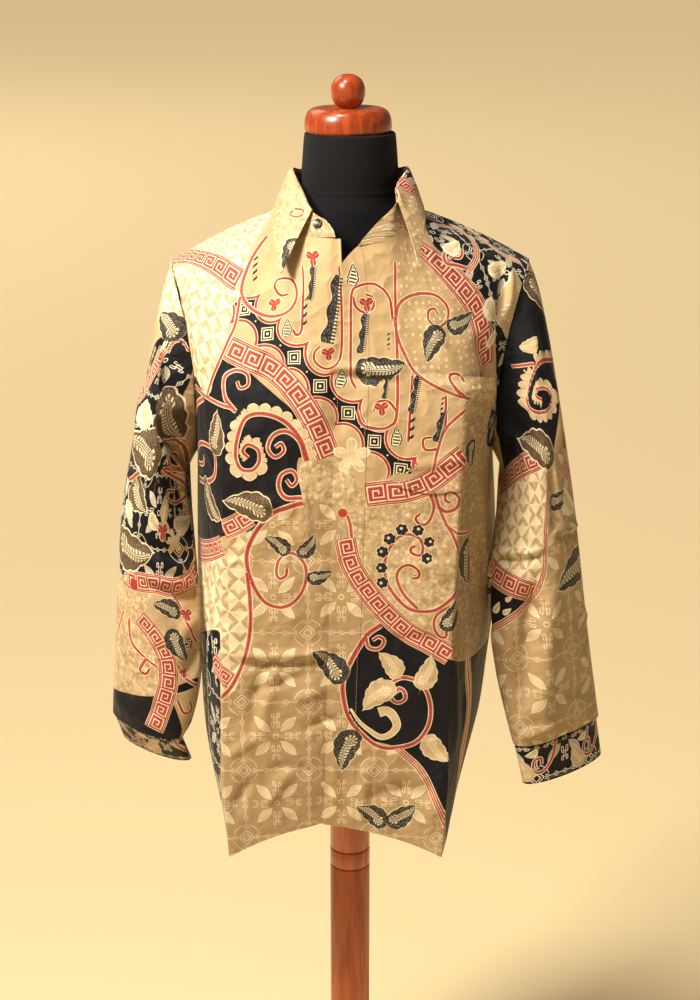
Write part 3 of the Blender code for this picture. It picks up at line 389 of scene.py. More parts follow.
STROKES = {  # each a look, its half width, the share that it thins by its end, and its line
    "front": (
        ("plain", 2.43, 0.45, (-145, 1418, -146, 1370, -143, 1341, -126, 1322, -100, 1313, -77, 1319, -70,
            1337, -80, 1354, -100, 1356, -103, 1347, -92, 1337, -82, 1338)),
        ("plain", 1.66, 0, (-143, 1335, -141, 1306, -146, 1286, -157, 1254, -176, 1213)),
        ("plain", 1.92, 0, (-245, 1192, -179, 1209, -142, 1210, -130, 1205)),
        ("plain", 2.18, 0.4, (-132, 1206, -144, 1221, -146, 1242, -133, 1251, -119, 1247, -117, 1235, -126,
            1231, -130, 1238)),
        ("plain", 2.05, 0, (-187, 1203, -228, 1171, -257, 1145)),
        ("plain", 2.56, 0.4, (-258, 1072, -179, 1112, -162, 1134, -169, 1153, -200, 1145, -236, 1120, -250,
            1097, -211, 1115, -200, 1129)),
        ("petals", 2.69, 0.4, (-48, 1149, -57, 1175, -75, 1195, -100, 1203, -119, 1197, -128, 1174, -130,
            1152, -124, 1138, -111, 1137, -103, 1147, -104, 1161, -116, 1167, -122, 1159, -116, 1152)),
        ("plain", 2.43, 0.4, (-50, 1149, -57, 1172, -72, 1183, -87, 1178, -93, 1163, -85, 1153, -75, 1160,
            -78, 1169, -84, 1165)),
        ("plain", 2.43, 0.4, (-55, 1105, -73, 1105, -81, 1117, -78, 1132, -66, 1137, -60, 1127, -66, 1119,
            -72, 1126)),
        ("plain", 1.54, 0, (-64, 1369, -61, 1330, -58, 1299, -63, 1292, -69, 1298)),
        ("plain", 1.66, 0.3, (-10, 1372, -9, 1330, -9, 1282, -13, 1262, -26, 1254, -39, 1261, -41, 1272,
            -35, 1279)),
        ("plain", 1.54, 0, (6, 1233, 1, 1247, 2, 1296, 4, 1336, 13, 1346, 34, 1348, 50, 1334, 52, 1309)),
        ("plain", 1.66, 0.3, (6, 1334, 9, 1323, 19, 1317, 30, 1322, 30, 1333, 22, 1337)),
        ("plain", 1.66, 0, (62, 1373, 55, 1296, 53, 1206, 45, 1189, 31, 1186, 14, 1191, 8, 1206)),
        ("plain", 1.66, 0.3, (52, 1207, 43, 1217, 30, 1216, 27, 1207)),
        ("plain", 1.54, 0, (71, 1246, 68, 1206, 66, 1172)),
        ("plain", 1.54, 0, (109, 1222, 108, 1188)),
        ("plain", 2.05, 0.4, (54, 1306, 63, 1327, 85, 1337, 112, 1337, 125, 1324, 122, 1308, 108, 1300, 97,
            1307, 99, 1318, 108, 1321, 111, 1314)),
        ("plain", 1.79, 0, (54, 1306, 58, 1282, 74, 1250, 100, 1232, 135, 1217)),
        ("plain", 1.92, 0.3, (130, 1219, 117, 1234, 115, 1245, 126, 1246, 130, 1237)),
        ("plain", 1.79, 0, (130, 1205, 108, 1185, 99, 1160, 94, 1136)),
        ("plain", 1.66, 0.3, (99, 1162, 85, 1162, 83, 1174, 93, 1176)),
        ("plain", 2.05, 0.3, (92, 1108, 96, 1092, 89, 1074, 80, 1073, 75, 1080, 80, 1085)),
        ("plain", 2.05, 0.2, (97, 1110, 100, 1098, 109, 1075, 119, 1057, 129, 1030)),
        ("plain", 2.3, 0.3, (101, 1093, 110, 1087, 122, 1091, 125, 1102, 118, 1110, 110, 1110, 109, 1101,
            114, 1098)),
        ("plain", 1.79, 0, (110, 1071, 125, 1060, 155, 1052)),
        ("plain", 2.3, 0.3, (125, 989, 115, 978, 101, 968, 83, 966, 65, 972, 46, 995, 40, 1017, 43, 1038,
            53, 1055, 66, 1061, 80, 1055, 84, 1044, 81, 1035, 71, 1038, 70, 1044, 75, 1046)),
        ("plain", 2.05, 0.3, (78, 970, 62, 988, 54, 1008, 59, 1021, 69, 1024, 79, 1017, 79, 1008, 72,
            1007)),
        ("plain", 1.92, 0.2, (115, 971, 101, 961, 98, 947, 104, 935, 112, 933, 112, 942, 106, 945)),
        ("plain", 1.79, 0, (-3, 1083, 0, 1074, 2, 1057)),
        ("plain", 2.94, 0.45, (-54, 1099, -86, 1088, -108, 1063, -119, 1035, -115, 1006, -101, 980, -82,
            972, -63, 981, -52, 1000, -52, 1023, -66, 1037, -80, 1032, -85, 1018, -82, 1008, -74, 1011,
            -73, 1019)),
        ("plain", 2.3, 0, (-119, 1013, -116, 977, -117, 939, -125, 904, -139, 873, -154, 855)),
        ("plume", 5.38, 0.92, (35, 839, 43, 841, 51, 835, 56, 822, 49, 811, 37, 807, 24, 815, 11, 827, 1,
            843)),
        ("plain", 2.82, 0.35, (35, 949, 20, 937, 4, 910, -7, 883, -8, 860, 0, 829, 21, 804, 37, 794, 54,
            793, 78, 800, 92, 818, 96, 840, 92, 862, 83, 876, 71, 882, 60, 883, 50, 877, 47, 866, 51, 855,
            58, 852, 65, 857, 64, 866, 58, 870, 55, 866)),
        ("plain", 2.05, 0.3, (18, 938, 22, 922, 34, 920, 40, 929, 34, 935, 27, 931)),
        ("rail", 3.71, 0, (56, 793, 87, 762, 112, 711, 135, 654)),
        ("rail", 5.89, 0, (163, 895, 189, 817, 191, 749, 188, 685)),
        ("rail", 3.97, 0, (170, 1443, 208, 1432, 206, 1400, 186, 1370, 163, 1356)),
        ("plain", 2.18, 0.3, (164, 1360, 151, 1368, 139, 1374, 142, 1386, 157, 1392, 168, 1385, 161, 1376,
            152, 1378)),
        ("rail", 4.99, 0, (246, 1454, 238, 1402, 245, 1366, 270, 1353)),
    ),
    "sleeve_left": (
        ("rail", 4.35, 0, (109, 588, 119, 577, 136, 566)),
        ("petals", 2.69, 0.4, (97, 463, 47, 470, 11, 452, -11, 429, -3, 415, 27, 413, 47, 424, 43, 437, 21,
            441, 10, 433, 21, 427)),
        ("plain", 2.05, 0, (8, 478, 16, 474, 32, 469)),
        ("rail", 3.71, 0, (1, 348, -12, 313, -21, 273, -25, 230, -35, 198, -53, 181, -92, 154, -107, 146)),
        ("plain", 1.92, 0, (61, 196, 63, 155, 60, 104)),
    ),
    "sleeve_right": (
        ("plain", 2.05, 0.2, (-37, 466, -43, 478, -37, 487, -20, 481)),
        ("plain", 2.69, 0.4, (128, 344, 86, 365, 58, 369, 40, 357, 58, 338, 95, 337, 94, 350, 74, 352)),
        ("plain", 2.69, 0.4, (127, 333, 47, 333, 93, 321, 114, 306, 93, 293, 67, 298, 66, 307, 84, 307)),
        ("plain", 2.56, 0, (-47, 305, -6, 326, 29, 344)),
        ("plain", 1.92, 0.3, (-7, 144, -3, 118, 15, 101, 29, 94)),
        ("plain", 1.92, 0.3, (15, 101, 6, 85, 13, 81, 19, 89)),
        ("plain", 1.66, 0, (-19, 149, -36, 122, -49, 98)),
        ("plain", 1.92, 0.2, (65, 186, 72, 171, 76, 145, 87, 124)),
        ("plain", 1.92, 0, (56, 97, 62, 83, 79, 71, 90, 72)),
        ("plain", 1.79, 0.3, (53, 53, 61, 37, 72, 40, 69, 51)),
    ),
    "leaf": (
        ("plain", 2.2, 0.3, (-195, -22, -203, -12, -212, -20, -204, -32, -197, -26)),
        ("plain", 2, 0.2, (-185, -74, -208, -80, -238, -84)),
        ("rail", 3, 0.2, (60, -80, 80, -40, 105, -30, 118, -50, 108, -64)),
    ),
    "cuff": (
        ("plain", 1.9, 0.3, (20, 6, 26, -20, 39, -36, 51, -34, 51, -20, 42, -18, 41, -26)),
        ("plain", 1.9, 0.3, (95, 6, 101, -20, 114, -36, 126, -34, 126, -20, 117, -18, 116, -26)),
        ("plain", 1.9, 0.3, (170, 6, 176, -20, 189, -36, 201, -34, 201, -20, 192, -18, 191, -26)),
        ("plain", 1.9, 0.3, (245, 6, 251, -20, 264, -36, 276, -34, 276, -20, 267, -18, 266, -26)),
    ),
}

STAMPS = {  # by look, each the place of its foot and of its tip
    "front": {
        "navy": ((120, 1299, 156, 1309), (111, 1301, 90, 1261), (6, 1251, 63, 1260),
            (-70, 1037, -98, 1057), (-58, 1032, -41, 1060), (-50, 1006, -20, 1014), (-6, 878, -44, 917),
            (5, 816, -9, 763), (45, 689, 9, 715), (46, 690, 80, 718), (110, 941, 126, 979),
            (145, 1047, 156, 987), (141, 1169, 146, 1134)),
        "shard": ((-54, 1326, -47, 1371), (-28, 1283, -14, 1359), (12, 1271, 20, 1316),
            (38, 1220, 43, 1249), (69, 1204, 77, 1246), (97, 1171, 108, 1214)),
        "rows": ((-131, 1355, -142, 1385), (-55, 1303, -58, 1335), (44, 1274, 46, 1294),
            (69, 1174, 72, 1208), (103, 1201, 106, 1221)),
        "small": ((-77, 1289, -77, 1310), (-13, 1232, -9, 1255), (4, 1346, 10, 1371),
            (51, 1165, 52, 1188)),
        "blossom": ((-105, 1322, -90, 1332), (-32, 1266, -18, 1277), (14, 1321, 30, 1332),
            (28, 1204, 43, 1215), (-56, 1374, -37, 1385)),
        "cream": ((2, 1134, 2, 1174),),
        "dark": ((-166, 1149, -156, 1200), (-212, 1095, -152, 1076), (-89, 1086, -144, 1099)),
        "white": ((144, 1387, 174, 1402), (195, 1343, 234, 1351), (179, 1314, 194, 1281),
            (175, 1259, 188, 1273)),
        "tan": ((204, 1267, 242, 1338), (59, 884, 35, 914), (83, 869, 95, 909), (51, 877, 17, 843),
            (89, 807, 120, 777)),
        "bud": ((44, 1004, 31, 1000), (43, 1020, 30, 1020), (44, 1037, 31, 1042), (51, 1051, 40, 1060),
            (62, 1060, 57, 1073), (76, 1059, 80, 1072), (85, 1049, 97, 1053), (83, 1035, 94, 1028)),
        "dot": ((-12, 1082, -5, 1091),),
    },
    "sleeve_left": {
        "dark": ((111, 567, 122, 511), (17, 356, -55, 384)),
        "tan": ((33, 489, 61, 498),),
        "dot": ((44, 371, 71, 371),),
        "navy": ((-5, 300, 30, 314), (70, 216, -5, 196), (72, 118, 60, 90)),
        "white": ((17, 310, 57, 281), (-81, 189, -72, 194), (-83, 173, -72, 179), (-96, 172, -89, 186)),
    },
    "sleeve_right": {
        "navy": ((-40, 488, -95, 498), (71, 161, 32, 171), (51, 142, 70, 102)),
        "white": ((159, 333, 127, 359), (-54, 397, -6, 379), (-54, 463, -51, 480), (27, 278, 52, 262),
            (81, 263, 119, 274), (122, 309, 126, 286), (-33, 285, -8, 265)),
        "dark": ((-12, 417, 73, 377), (32, 339, -61, 352), (-33, 313, 19, 282), (-48, 231, 35, 233)),
        "bud": ((-30, 457, -31, 453), (-20, 446, -27, 444), (-8, 436, -13, 434)),
        "tan": ((64, 295, 59, 265),),
        "cream": ((67, 257, 87, 237),),
        "blossom": ((45, 254, 66, 266), (70, 155, 86, 163), (57, 84, 69, 92)),
        "dot": ((-5, 185, 8, 195),),
        "lozenge": ((63, 118, 80, 128),),
    },
    "leaf": {
        "navy": ((-246, -40, -283, -80),),
        "white": ((128, -30, 142, -62),),
        "tan": ((30, -60, 60, -20),),
    },
    "cuff": {
        "tan": ((54, -46, 70, -16), (129, -46, 145, -16), (204, -46, 220, -16), (279, -46, 295, -16)),
        "white": ((46, -8, 62, -12), (121, -8, 137, -12), (196, -8, 212, -12), (271, -8, 287, -12)),
    },
}

# The middle of one cell of the lattice on each plane, in mm.
LATTICE_CENTRES = {"front": (-89, 808), "sleeve_left": (-26, 70), "sleeve_right": (126, 281)}


# ---- curves through the tables ------------------------------------------------------------------


def spline(a, b, c, d, t):
    """The Catmull-Rom curve from b to c, with a before them and d after them."""
    return 0.5 * (
        b * 2 + (c - a) * t + (a * 2 - b * 5 + c * 4 - d) * t**2 + (b * 3 - a - c * 3 + d) * t**3
    )


def extended(values):
    """The values with one more before the first and one after the last, straight on."""
    return np.concatenate([[values[0] * 2 - values[1]], values, [values[-1] * 2 - values[-2]]])


def through(values, place):
    """A smooth curve through rows of values, read at an array of places: 0 is the first row."""
    values, place = np.asarray(values, float), np.asarray(place, float)
    first = np.clip(place.astype(int), 0, len(values) - 2)
    t = (place - first).reshape(place.shape + (1,) * (values.ndim - 1))
    rows = extended(values)
    return spline(*(rows[first + k] for k in range(4)), t)


def across_marks(marks, place):
    """The same curve where every point has its own marks, stacked first."""
    first = np.clip(place.astype(int), 0, len(marks) - 2)
    rows = extended(marks)
    four = [np.take_along_axis(rows, (first + k)[None, ..., None], 0)[0] for k in range(4)]
    return spline(*four, (place - first)[..., None])


def halfway_bend(start, middle, end, t):
    """A parabola from start to end, halfway through middle."""
    t = t[..., None]
    lift = middle - (start + end) / 2
    return start + (end - start) * t + lift * 4 * t * (1 - t)


def station(table, side, level):
    return through([(row.x_left if side > 0 else row.x_right, row.y, row.z) for row in table], level)


def ring_point(rings, row, angle, scoop=0.0):
    """Points of a sleeve's rings. Angle 0 is the outer point, and a quarter turn is the front."""
    row, angle = np.broadcast_arrays(np.asarray(row, float), np.asarray(angle, float))
    outer = through([ring[0:3] for ring in rings], row)
    inner = through([ring[3:6] for ring in rings], row)
    front_deep = through([ring.deep_front for ring in rings], row)
    back_deep = through([ring.deep_back for ring in rings], row)
    deep = np.where(np.sin(angle) > 0, front_deep, back_deep) * np.sin(angle)
    side = 1 if rings[0].out_x > 0 else -1
    turn = np.radians(through([ring.turn for ring in rings], row))
    front = np.stack([side * np.sin(turn), -np.cos(turn), 0 * turn], -1)
    reach = (outer - inner) / 2 * np.cos(angle)[..., None]
    point = (outer + inner) / 2 + reach + front * deep[..., None]
    point[..., 0] -= side * scoop * np.sin(angle) ** 2
    return point


def edge_point(side, level, front):
    """The outer edge of a panel: the armhole down to the underarm, then the side seam."""
    rings = SLEEVE_LEFT if side > 0 else SLEEVE_RIGHT
    angle = pi * np.clip(level / UNDERARM_LEVEL, 0, 1)
    armhole = ring_point(rings, 0.0, angle if front else -angle, ARMHOLE_SCOOP)
    seam = station(SIDE, side, np.maximum(level - UNDERARM_LEVEL, 0))
    return np.where((level < UNDERARM_LEVEL)[..., None], armhole, seam)


def plain_point(side, level, across, front=True):
    """Points of the body's cloth: across 0 is the front edge or the back's middle, 1 is the side."""
    front_tables = (CENTRE, MIDDLE, CREASE, STRIP)
    back_tables = (BACK_CENTRE, BACK_MIDDLE, BACK_CREASE, BACK_STRIP)
    tables = front_tables if front else back_tables
    marks = [station(table, side, level) for table in tables] + [edge_point(side, level, front)]
    corner = np.clip(through(CORNER if front else BACK_CORNER, level), 0, 1)[..., None]
    crease_at = STATION_PLACES[2]
    near = np.minimum(across / crease_at, 1)
    far = np.maximum(across - crease_at, 0) / (1 - crease_at)
    sharp = np.where(
        (across <= crease_at)[..., None],
        halfway_bend(marks[0], marks[1], marks[2], near),
        halfway_bend(marks[2], marks[3], marks[4], far),
    )
    round_ = across_marks(np.stack(marks), 2 * near + 2 * far)
    return round_ * (1 - corner) + sharp * corner


def panel_point(side, level, across, front=True):
    """Points of the body's cloth, with the front's neckline drawn to its own curve."""
    level, across = np.broadcast_arrays(np.asarray(level, float), np.asarray(across, float))
    point = plain_point(side, level, across, front)
    if not front:
        return point
    crease_at = STATION_PLACES[2]
    line = NECKLINE_LEFT if side > 0 else NECKLINE_RIGHT
    neck = through(line, np.minimum(across / crease_at, 1) * (len(line) - 1))
    fade = np.where(across < crease_at, np.clip(1 - level / NECK_FADE, 0, 1) ** 2, 0)[..., None]
    return point + (neck - plain_point(side, 0 * level, across, front)) * fade


def width_share(side, level, step, start=0.0, front=True):
    """How wide the panel is at each level, in metres for a step of across from start."""
    near, far = panel_point(side, level, start, front), panel_point(side, level, start + step, front)
    return np.linalg.norm(far - near, axis=-1) / step


def fly_share(level):
    """The share of the left front's width, at each level, that the fly band takes."""
    return FLY_WIDTH / width_share(1, level, STATION_PLACES[1])


def seam_inset(side, level, front=True):
    """The across of a panel's side edge, drawn in by half a seam's gap."""
    gap = np.where(level < UNDERARM_LEVEL, ARMHOLE_GAP, SEAM_GAP)
    return 1 - gap / width_share(side, level, 0.03, 0.97, front)


def normals_of(points, tube=False):
    """Unit normals of a grid of points, from its rows and columns."""
    if tube:
        ring = points[:, :-1]
        over = np.roll(ring, -1, 1) - np.roll(ring, 1, 1)
        over = np.concatenate([over, over[:, :1]], 1)
    else:
        over = np.gradient(points, axis=1)
    normal = np.cross(over, np.gradient(points, axis=0))
    return normal / np.maximum(np.linalg.norm(normal, axis=-1, keepdims=True), 1e-12)


def running_length(points, axis):
    """The distance from the first point along the rows or the columns of a grid."""
    steps = np.linalg.norm(np.diff(points, axis=axis), axis=-1)
    first = np.zeros_like(steps[:, :1] if axis else steps[:1])
    return np.concatenate([first, np.cumsum(steps, axis)], axis)


# ---- cloth meshes -------------------------------------------------------------------------------

Grid = namedtuple("Grid", "points normals places plane tube flip")  # plane names the print it is cut from
SHARP_FOLD = radians(50)


def shell_faces(rows, columns):
    """The grid's cells as corners of (row, column), row by row."""
    r, c = np.mgrid[0 : rows - 1, 0 : columns - 1]
    corners = [(r, c), (r, c + 1), (r + 1, c + 1), (r + 1, c)]
    return np.stack([np.stack([a.ravel(), b.ravel()], -1) for a, b in corners], 1)


def rim_edges(rows, columns, tube):
    """The open edges of the grid, each as two corners and the cell that it belongs to."""
    cells = columns - 1
    edges = [((0, c + 1), (0, c), c) for c in range(cells)]
    edges += [((rows - 1, c), (rows - 1, c + 1), (rows - 2) * cells + c) for c in range(cells)]
    if not tube:
        edges += [((r, 0), (r + 1, 0), r * cells) for r in range(rows - 1)]
        edges += [((r + 1, cells), (r, cells), r * cells + cells - 1) for r in range(rows - 1)]
    return edges


def cloth_mesh(name, grid, material):
    """A thin closed shell on a grid of points, with its print's fields on every face corner."""
    rows, columns = grid.points.shape[:2]
    cells = shell_faces(rows, columns)
    edges = rim_edges(rows, columns, grid.tube)
    width = columns - 1 if grid.tube else columns
    lift = grid.normals[:, :width] * WALL / 2
    vertices = np.concatenate([
        (grid.points[:, :width] + lift).reshape(-1, 3), (grid.points[:, :width] - lift).reshape(-1, 3)
    ])
    offset = rows * width
    ids = cells[..., 0] * width + cells[..., 1] % width
    pairs = np.array([edge[:2] for edge in edges])
    pair_ids = pairs[..., 0] * width + pairs[..., 1] % width
    rim_ids = np.stack([pair_ids[:, 0], pair_ids[:, 1], pair_ids[:, 1] + offset, pair_ids[:, 0] + offset], 1)
    faces = np.concatenate([ids, ids[:, ::-1] + offset, rim_ids])
    corners = np.concatenate([cells, cells[:, ::-1], pairs[:, [0, 1, 1, 0]]])
    owner = np.concatenate([np.arange(len(cells))] * 2 + [np.array([edge[2] for edge in edges])])
    bake = bake_places(rows, columns, cells, len(edges))
    if grid.flip:
        faces, corners, bake = faces[:, ::-1], corners[:, ::-1], bake[:, ::-1]
    mesh = bpy.data.meshes.new(name)
    mesh.from_pydata(vertices.tolist(), [], faces.tolist())
    plane, flat = printed(grid)
    flat = flat - places_of(LATTICE_CENTRES.get(plane, (0, 0)))
    for layer_name, values in (("OFBake", bake), ("Print", flat[corners[..., 0], corners[..., 1]])):
        layer = mesh.uv_layers.new(name=layer_name)
        layer.data.foreach_set("uv", values.astype(np.float32).ravel())
    for field, values in print_fields(grid, cells, corners, owner).items():
        kind = "FLOAT_VECTOR" if values.ndim == 3 else "FLOAT"
        layer = mesh.attributes.new(field, kind, "CORNER")
        slot = "vector" if kind == "FLOAT_VECTOR" else "value"
        layer.data.foreach_set(slot, values.astype(np.float32).ravel())
    mesh.materials.append(material)
    mesh.shade_smooth()
    mesh.set_sharp_from_angle(angle=SHARP_FOLD)
    return linked(name, mesh)


def linked(name, data):
    """A new object in the scene, at the origin."""
    made = bpy.data.objects.new(name, data)
    bpy.context.scene.collection.objects.link(made)
    return made


def bake_places(rows, columns, cells, rims):
    """Places on the unit square that nothing shares: the outer face, the inner face and the rims."""
    half, edge = 0.48, 0.004
    across = edge + (half - 2 * edge) * cells[..., 1] / (columns - 1)
    up = edge + (1 - 2 * edge) * (1 - cells[..., 0] / (rows - 1))
    outer = np.stack([across, up], -1)
    inner = np.stack([across + half, up], -1)[:, ::-1]
    strips = 4
    strip = np.arange(rims) % strips
    step = np.arange(rims) // strips
    count = rims // strips + 1
    left = 2 * half + edge + (1 - 2 * half - edge) * strip / strips
    right = left + (1 - 2 * half - edge) / strips * 0.7
    low, high = step / count, (step + 0.8) / count
    rim = np.stack([
        np.stack([left, low], -1), np.stack([left, high], -1),
        np.stack([right, high], -1), np.stack([right, low], -1),
    ], 1)
    return np.concatenate([outer, inner, rim])


# ---- the print's fields -------------------------------------------------------------------------

OUTLINE_STEP = 0.006
CHUNK = 20000  # places that are measured against an outline at one time


def smooth_line(marks, step=0.002, closed=False):
    """Points about a step apart on the smooth curve through the marks."""
    marks = np.asarray(marks, float)
    if closed:
        marks = np.concatenate([marks[-2:], marks, marks[:3]])
    places = np.linspace(0, len(marks) - 1, (len(marks) - 1) * 40 + 1)
    if closed:
        places = places[(places >= 2) & (places <= len(marks) - 3)]
    fine = through(marks, places)
    far = np.concatenate([[0], np.cumsum(np.linalg.norm(np.diff(fine, axis=0), axis=1))])
    even = np.linspace(0, far[-1], max(int(far[-1] / step), 2) + 1)
    return np.stack([np.interp(even, far, fine[:, k]) for k in range(2)], -1)


class Lines:
    """Drawn lines on one plane, cut into short segments that a face can find the nearest of."""

    def __init__(self, lines):
        starts, ends, along, length, widths, kinds, line_of = [], [], [], [], [], [], []
        for number, (points, width, kind, taper) in enumerate(lines):
            steps = np.linalg.norm(np.diff(points, axis=0), axis=1)
            far = np.concatenate([[0], np.cumsum(steps)])
            starts.append(points[:-1])
            ends.append(points[1:])
            along.append(far[:-1])
            length.append(np.full(len(steps), far[-1]))
            widths.append(width * (1 - taper * far[:-1] / far[-1]))
            kinds.append(np.full(len(steps), float(kind)))
            line_of.append(np.full(len(steps), number))
        parts = (starts, ends, along, length, widths, kinds, line_of)
        self.start, self.end, self.along, self.length, self.width, self.kind, self.line = (
            np.concatenate(part) for part in parts
        )
        self.tree = KDTree(len(self.start))
        for i, middle in enumerate((self.start + self.end) / 2):
            self.tree.insert((*middle, 0), i)
        self.tree.balance()

    def nearest(self, centres):
        """The segment nearest to each centre."""
        return np.array([self.tree.find((u, v, 0))[1] for u, v in centres.tolist()])

    def read(self, places, nearest):
        """Distance along and signed distance off, at the corners of faces whose nearest segment is known."""
        best_off = np.full(places.shape[:2], np.inf)
        along, off = np.zeros(places.shape[:2]), np.zeros(places.shape[:2])
        for shift in (-1, 0, 1):
            near = np.clip(nearest + shift, 0, len(self.start) - 1)
            near = np.where(self.line[near] == self.line[nearest], near, nearest)
            start, run = self.start[near][:, None], (self.end - self.start)[near][:, None]
            size = np.linalg.norm(run, axis=-1)
            unit = run / size[..., None]
            gap = places - start
            ahead = (gap * unit).sum(-1)
            side = gap[..., 1] * unit[..., 0] - gap[..., 0] * unit[..., 1]
            held = np.clip(ahead, 0, size)
            distance = np.hypot(ahead - held, side)
            better = distance < best_off
            best_off = np.where(better, distance, best_off)
            along = np.where(better, self.along[near][:, None] + ahead, along)
            off = np.where(better, np.where(side < 0, -distance, distance), off)
        end = np.minimum(along, self.length[nearest][:, None] - along)
        return along, off, end


def region_depth(marks, places):
    """How far inside a smooth closed outline each place is, and how far outside below 0."""
    outline = smooth_line(marks, OUTLINE_STEP, closed=True)
    start, run = outline[:-1], np.diff(outline, axis=0)
    flat = places.reshape(-1, 2)
    depth = np.empty(len(flat))
    for first in range(0, len(flat), CHUNK):
        some = flat[first : first + CHUNK, None]
        gap = some - start
        share = np.clip((gap * run).sum(-1) / (run**2).sum(-1), 0, 1)[..., None]
        away = np.linalg.norm(gap - run * share, axis=-1).min(1)
        up = (start[:, 1] <= some[..., 1]) != (start[:, 1] + run[:, 1] <= some[..., 1])
        level = np.where(np.abs(run[:, 1]) < 1e-12, 1e-12, run[:, 1])
        crossing = start[:, 0] + gap[..., 1] / level * run[:, 0]
        inside = (up & (crossing > some[..., 0])).sum(1) % 2 == 1
        depth[first : first + CHUNK] = np.where(inside, away, -away)
    return depth.reshape(places.shape[:-1])


GROUND_LOOKS = ("black", "pinwheel", "lattice", "floral", "dots", "brown")  # two vectors of three
STAMP_LOOKS = (
    "none", "navy", "dark", "tan", "white", "small", "shard", "rows", "blossom", "cream", "bud", "dot",
    "lozenge",
)
STROKE_LOOKS = {"plain": 1, "petals": 2, "rail": 3, "plume": 4}
CHAIN = -1.0  # the kind of a band that bears the chain; a key band's kind is its scale, above 0
FAR_OFF = 999  # mm, off every band, stroke and stamp
STAMP_REACH = 0.62  # of its length: a stamp is drawn no further than this from its middle
HALF_TURN_V = 2.06  # the back's cloth is the front's turned half round about half this height
SLEEVE_FOLD = 0.145  # past this flat u, a sleeve's print comes back as its own mirror image
KEY_HALF = 10.5  # mm, the half width that the key figure is drawn for
STROKE_STEP = 0.0015


def printed(grid):
    """The printed cloth that a piece is cut from, and its places on it."""
    if grid.plane == "back":
        return "front", grid.places * (1, -1) + (0.0, HALF_TURN_V)
    if grid.plane in ("sleeve_left", "sleeve_right"):
        side = 1 if grid.plane == "sleeve_left" else -1
        past = np.maximum(side * grid.places[..., 0] - SLEEVE_FOLD, 0)
        return grid.plane, grid.places - np.stack([side * 2 * past, 0 * past], -1)
    return grid.plane, grid.places


def places_of(row):
    """The places that a row of mm lists, in metres."""
    return np.reshape(row, (-1, 2)) / 1000


def band_lines(plane):
    lines = []
    for look, half, line in BANDS.get(plane, ()):
        kind = half / KEY_HALF if look == "key" else CHAIN
        lines.append((smooth_line(places_of(line)), half, kind, 0.0))
    return Lines(lines) if lines else None


def stroke_lines(plane):
    lines = [
        (smooth_line(places_of(line), STROKE_STEP), half, STROKE_LOOKS[look], taper)
        for look, half, taper, line in STROKES.get(plane, ())
    ]
    return Lines(lines) if lines else None


def print_fields(grid, cells, corners, owner):
    """Where each face corner lies on the regions, bands, strokes and stamps, in mm. Each face reads one
    band, one stroke and one stamp, the nearest to its middle, so that all its corners agree."""
    plane, flat = printed(grid)
    centres = flat[cells[..., 0], cells[..., 1]].mean(1)
    at = flat[corners[..., 0], corners[..., 1]]
    depths = {look: np.full(flat.shape[:2], -1.0) for look in GROUND_LOOKS}
    for looks, outline in REGIONS.get(plane, ()):
        depth = region_depth(places_of(outline), flat)
        for look in looks.split():
            depths[look] = np.maximum(depths[look], depth)
    grounds = np.stack([depths[look] for look in GROUND_LOOKS], -1)[corners[..., 0], corners[..., 1]] * 1000
    fields = {"ground": grounds[..., :3], "filler": grounds[..., 3:]}
    zero = 0 * at[..., 0]
    nothing = np.stack([zero, zero + FAR_OFF, zero], -1)
    fields["band"], fields["line"], fields["stamp"] = nothing, nothing.copy(), nothing * (1, 1, 0)
    ends = np.zeros_like(nothing)
    bands, strokes = band_lines(plane), stroke_lines(plane)
    if bands:
        near = bands.nearest(centres)[owner]
        along, off, end = bands.read(at, near)
        kind = bands.kind[near][:, None] + 0 * along
        scale = np.abs(kind) / 1000
        fields["band"] = np.stack([along / scale, off / scale, kind], -1)
        ends[..., 0] = end * 1000
    if strokes:
        near = strokes.nearest(centres)[owner]
        along, off, end = strokes.read(at, near)
        fields["line"] = np.stack([along * 1000, off * 1000, strokes.width[near][:, None] + 0 * along], -1)
        ends[..., 1], ends[..., 2] = end * 1000, strokes.kind[near][:, None]
    fields["ends"] = ends
    looks = STAMPS.get(plane, {})
    if looks:
        stamps = np.array([(STAMP_LOOKS.index(look), *row) for look in looks for row in looks[look]])
        foot, tip = stamps[:, 1:3] / 1000, stamps[:, 3:] / 1000
        run = tip - foot
        size = np.hypot(*run.T)
        gap = np.linalg.norm(centres[:, None] - (foot + tip)[None] / 2, axis=-1) / size
        best = gap.argmin(1)
        kind = stamps[best, 0].astype(float)
        kind[gap.min(1) > STAMP_REACH] = 0
        best, kind = best[owner], kind[owner]
        ahead = run[best][:, None] / (size[best] ** 2)[:, None, None]
        gap = at - foot[best][:, None]
        along = (gap * ahead).sum(-1)
        off = gap[..., 1] * ahead[..., 0] - gap[..., 0] * ahead[..., 1]
        fields["stamp"] = np.stack([along, off, kind[:, None] + 0 * along], -1)
    return fields


# ---- where the cloth lies flat ------------------------------------------------------------------

FLAT_ROWS = 200  # of the tables that turn a panel's levels and shares into places on flat cloth
FLAT_COLUMNS = 120
CHEST_V = 1.085  # the flat height of level 5, which is its height above the floor


def flat_table(side, front):
    """Places (u, v) of a whole panel: u runs out from the front edge or the back's middle, v is up."""
    level = np.linspace(0, HEM_LEVEL, FLAT_ROWS + 1)[:, None]
    across = np.linspace(0, 1, FLAT_COLUMNS + 1)[None]
    points = panel_point(side, level, across, front)
    start = station(CENTRE if front else BACK_CENTRE, side, level)[..., 0]
    down = running_length(points, 0)
    v = CHEST_V - (down - down[FLAT_ROWS * UNDERARM_LEVEL // HEM_LEVEL])
    return np.stack([start + side * running_length(points, 1), v], -1)


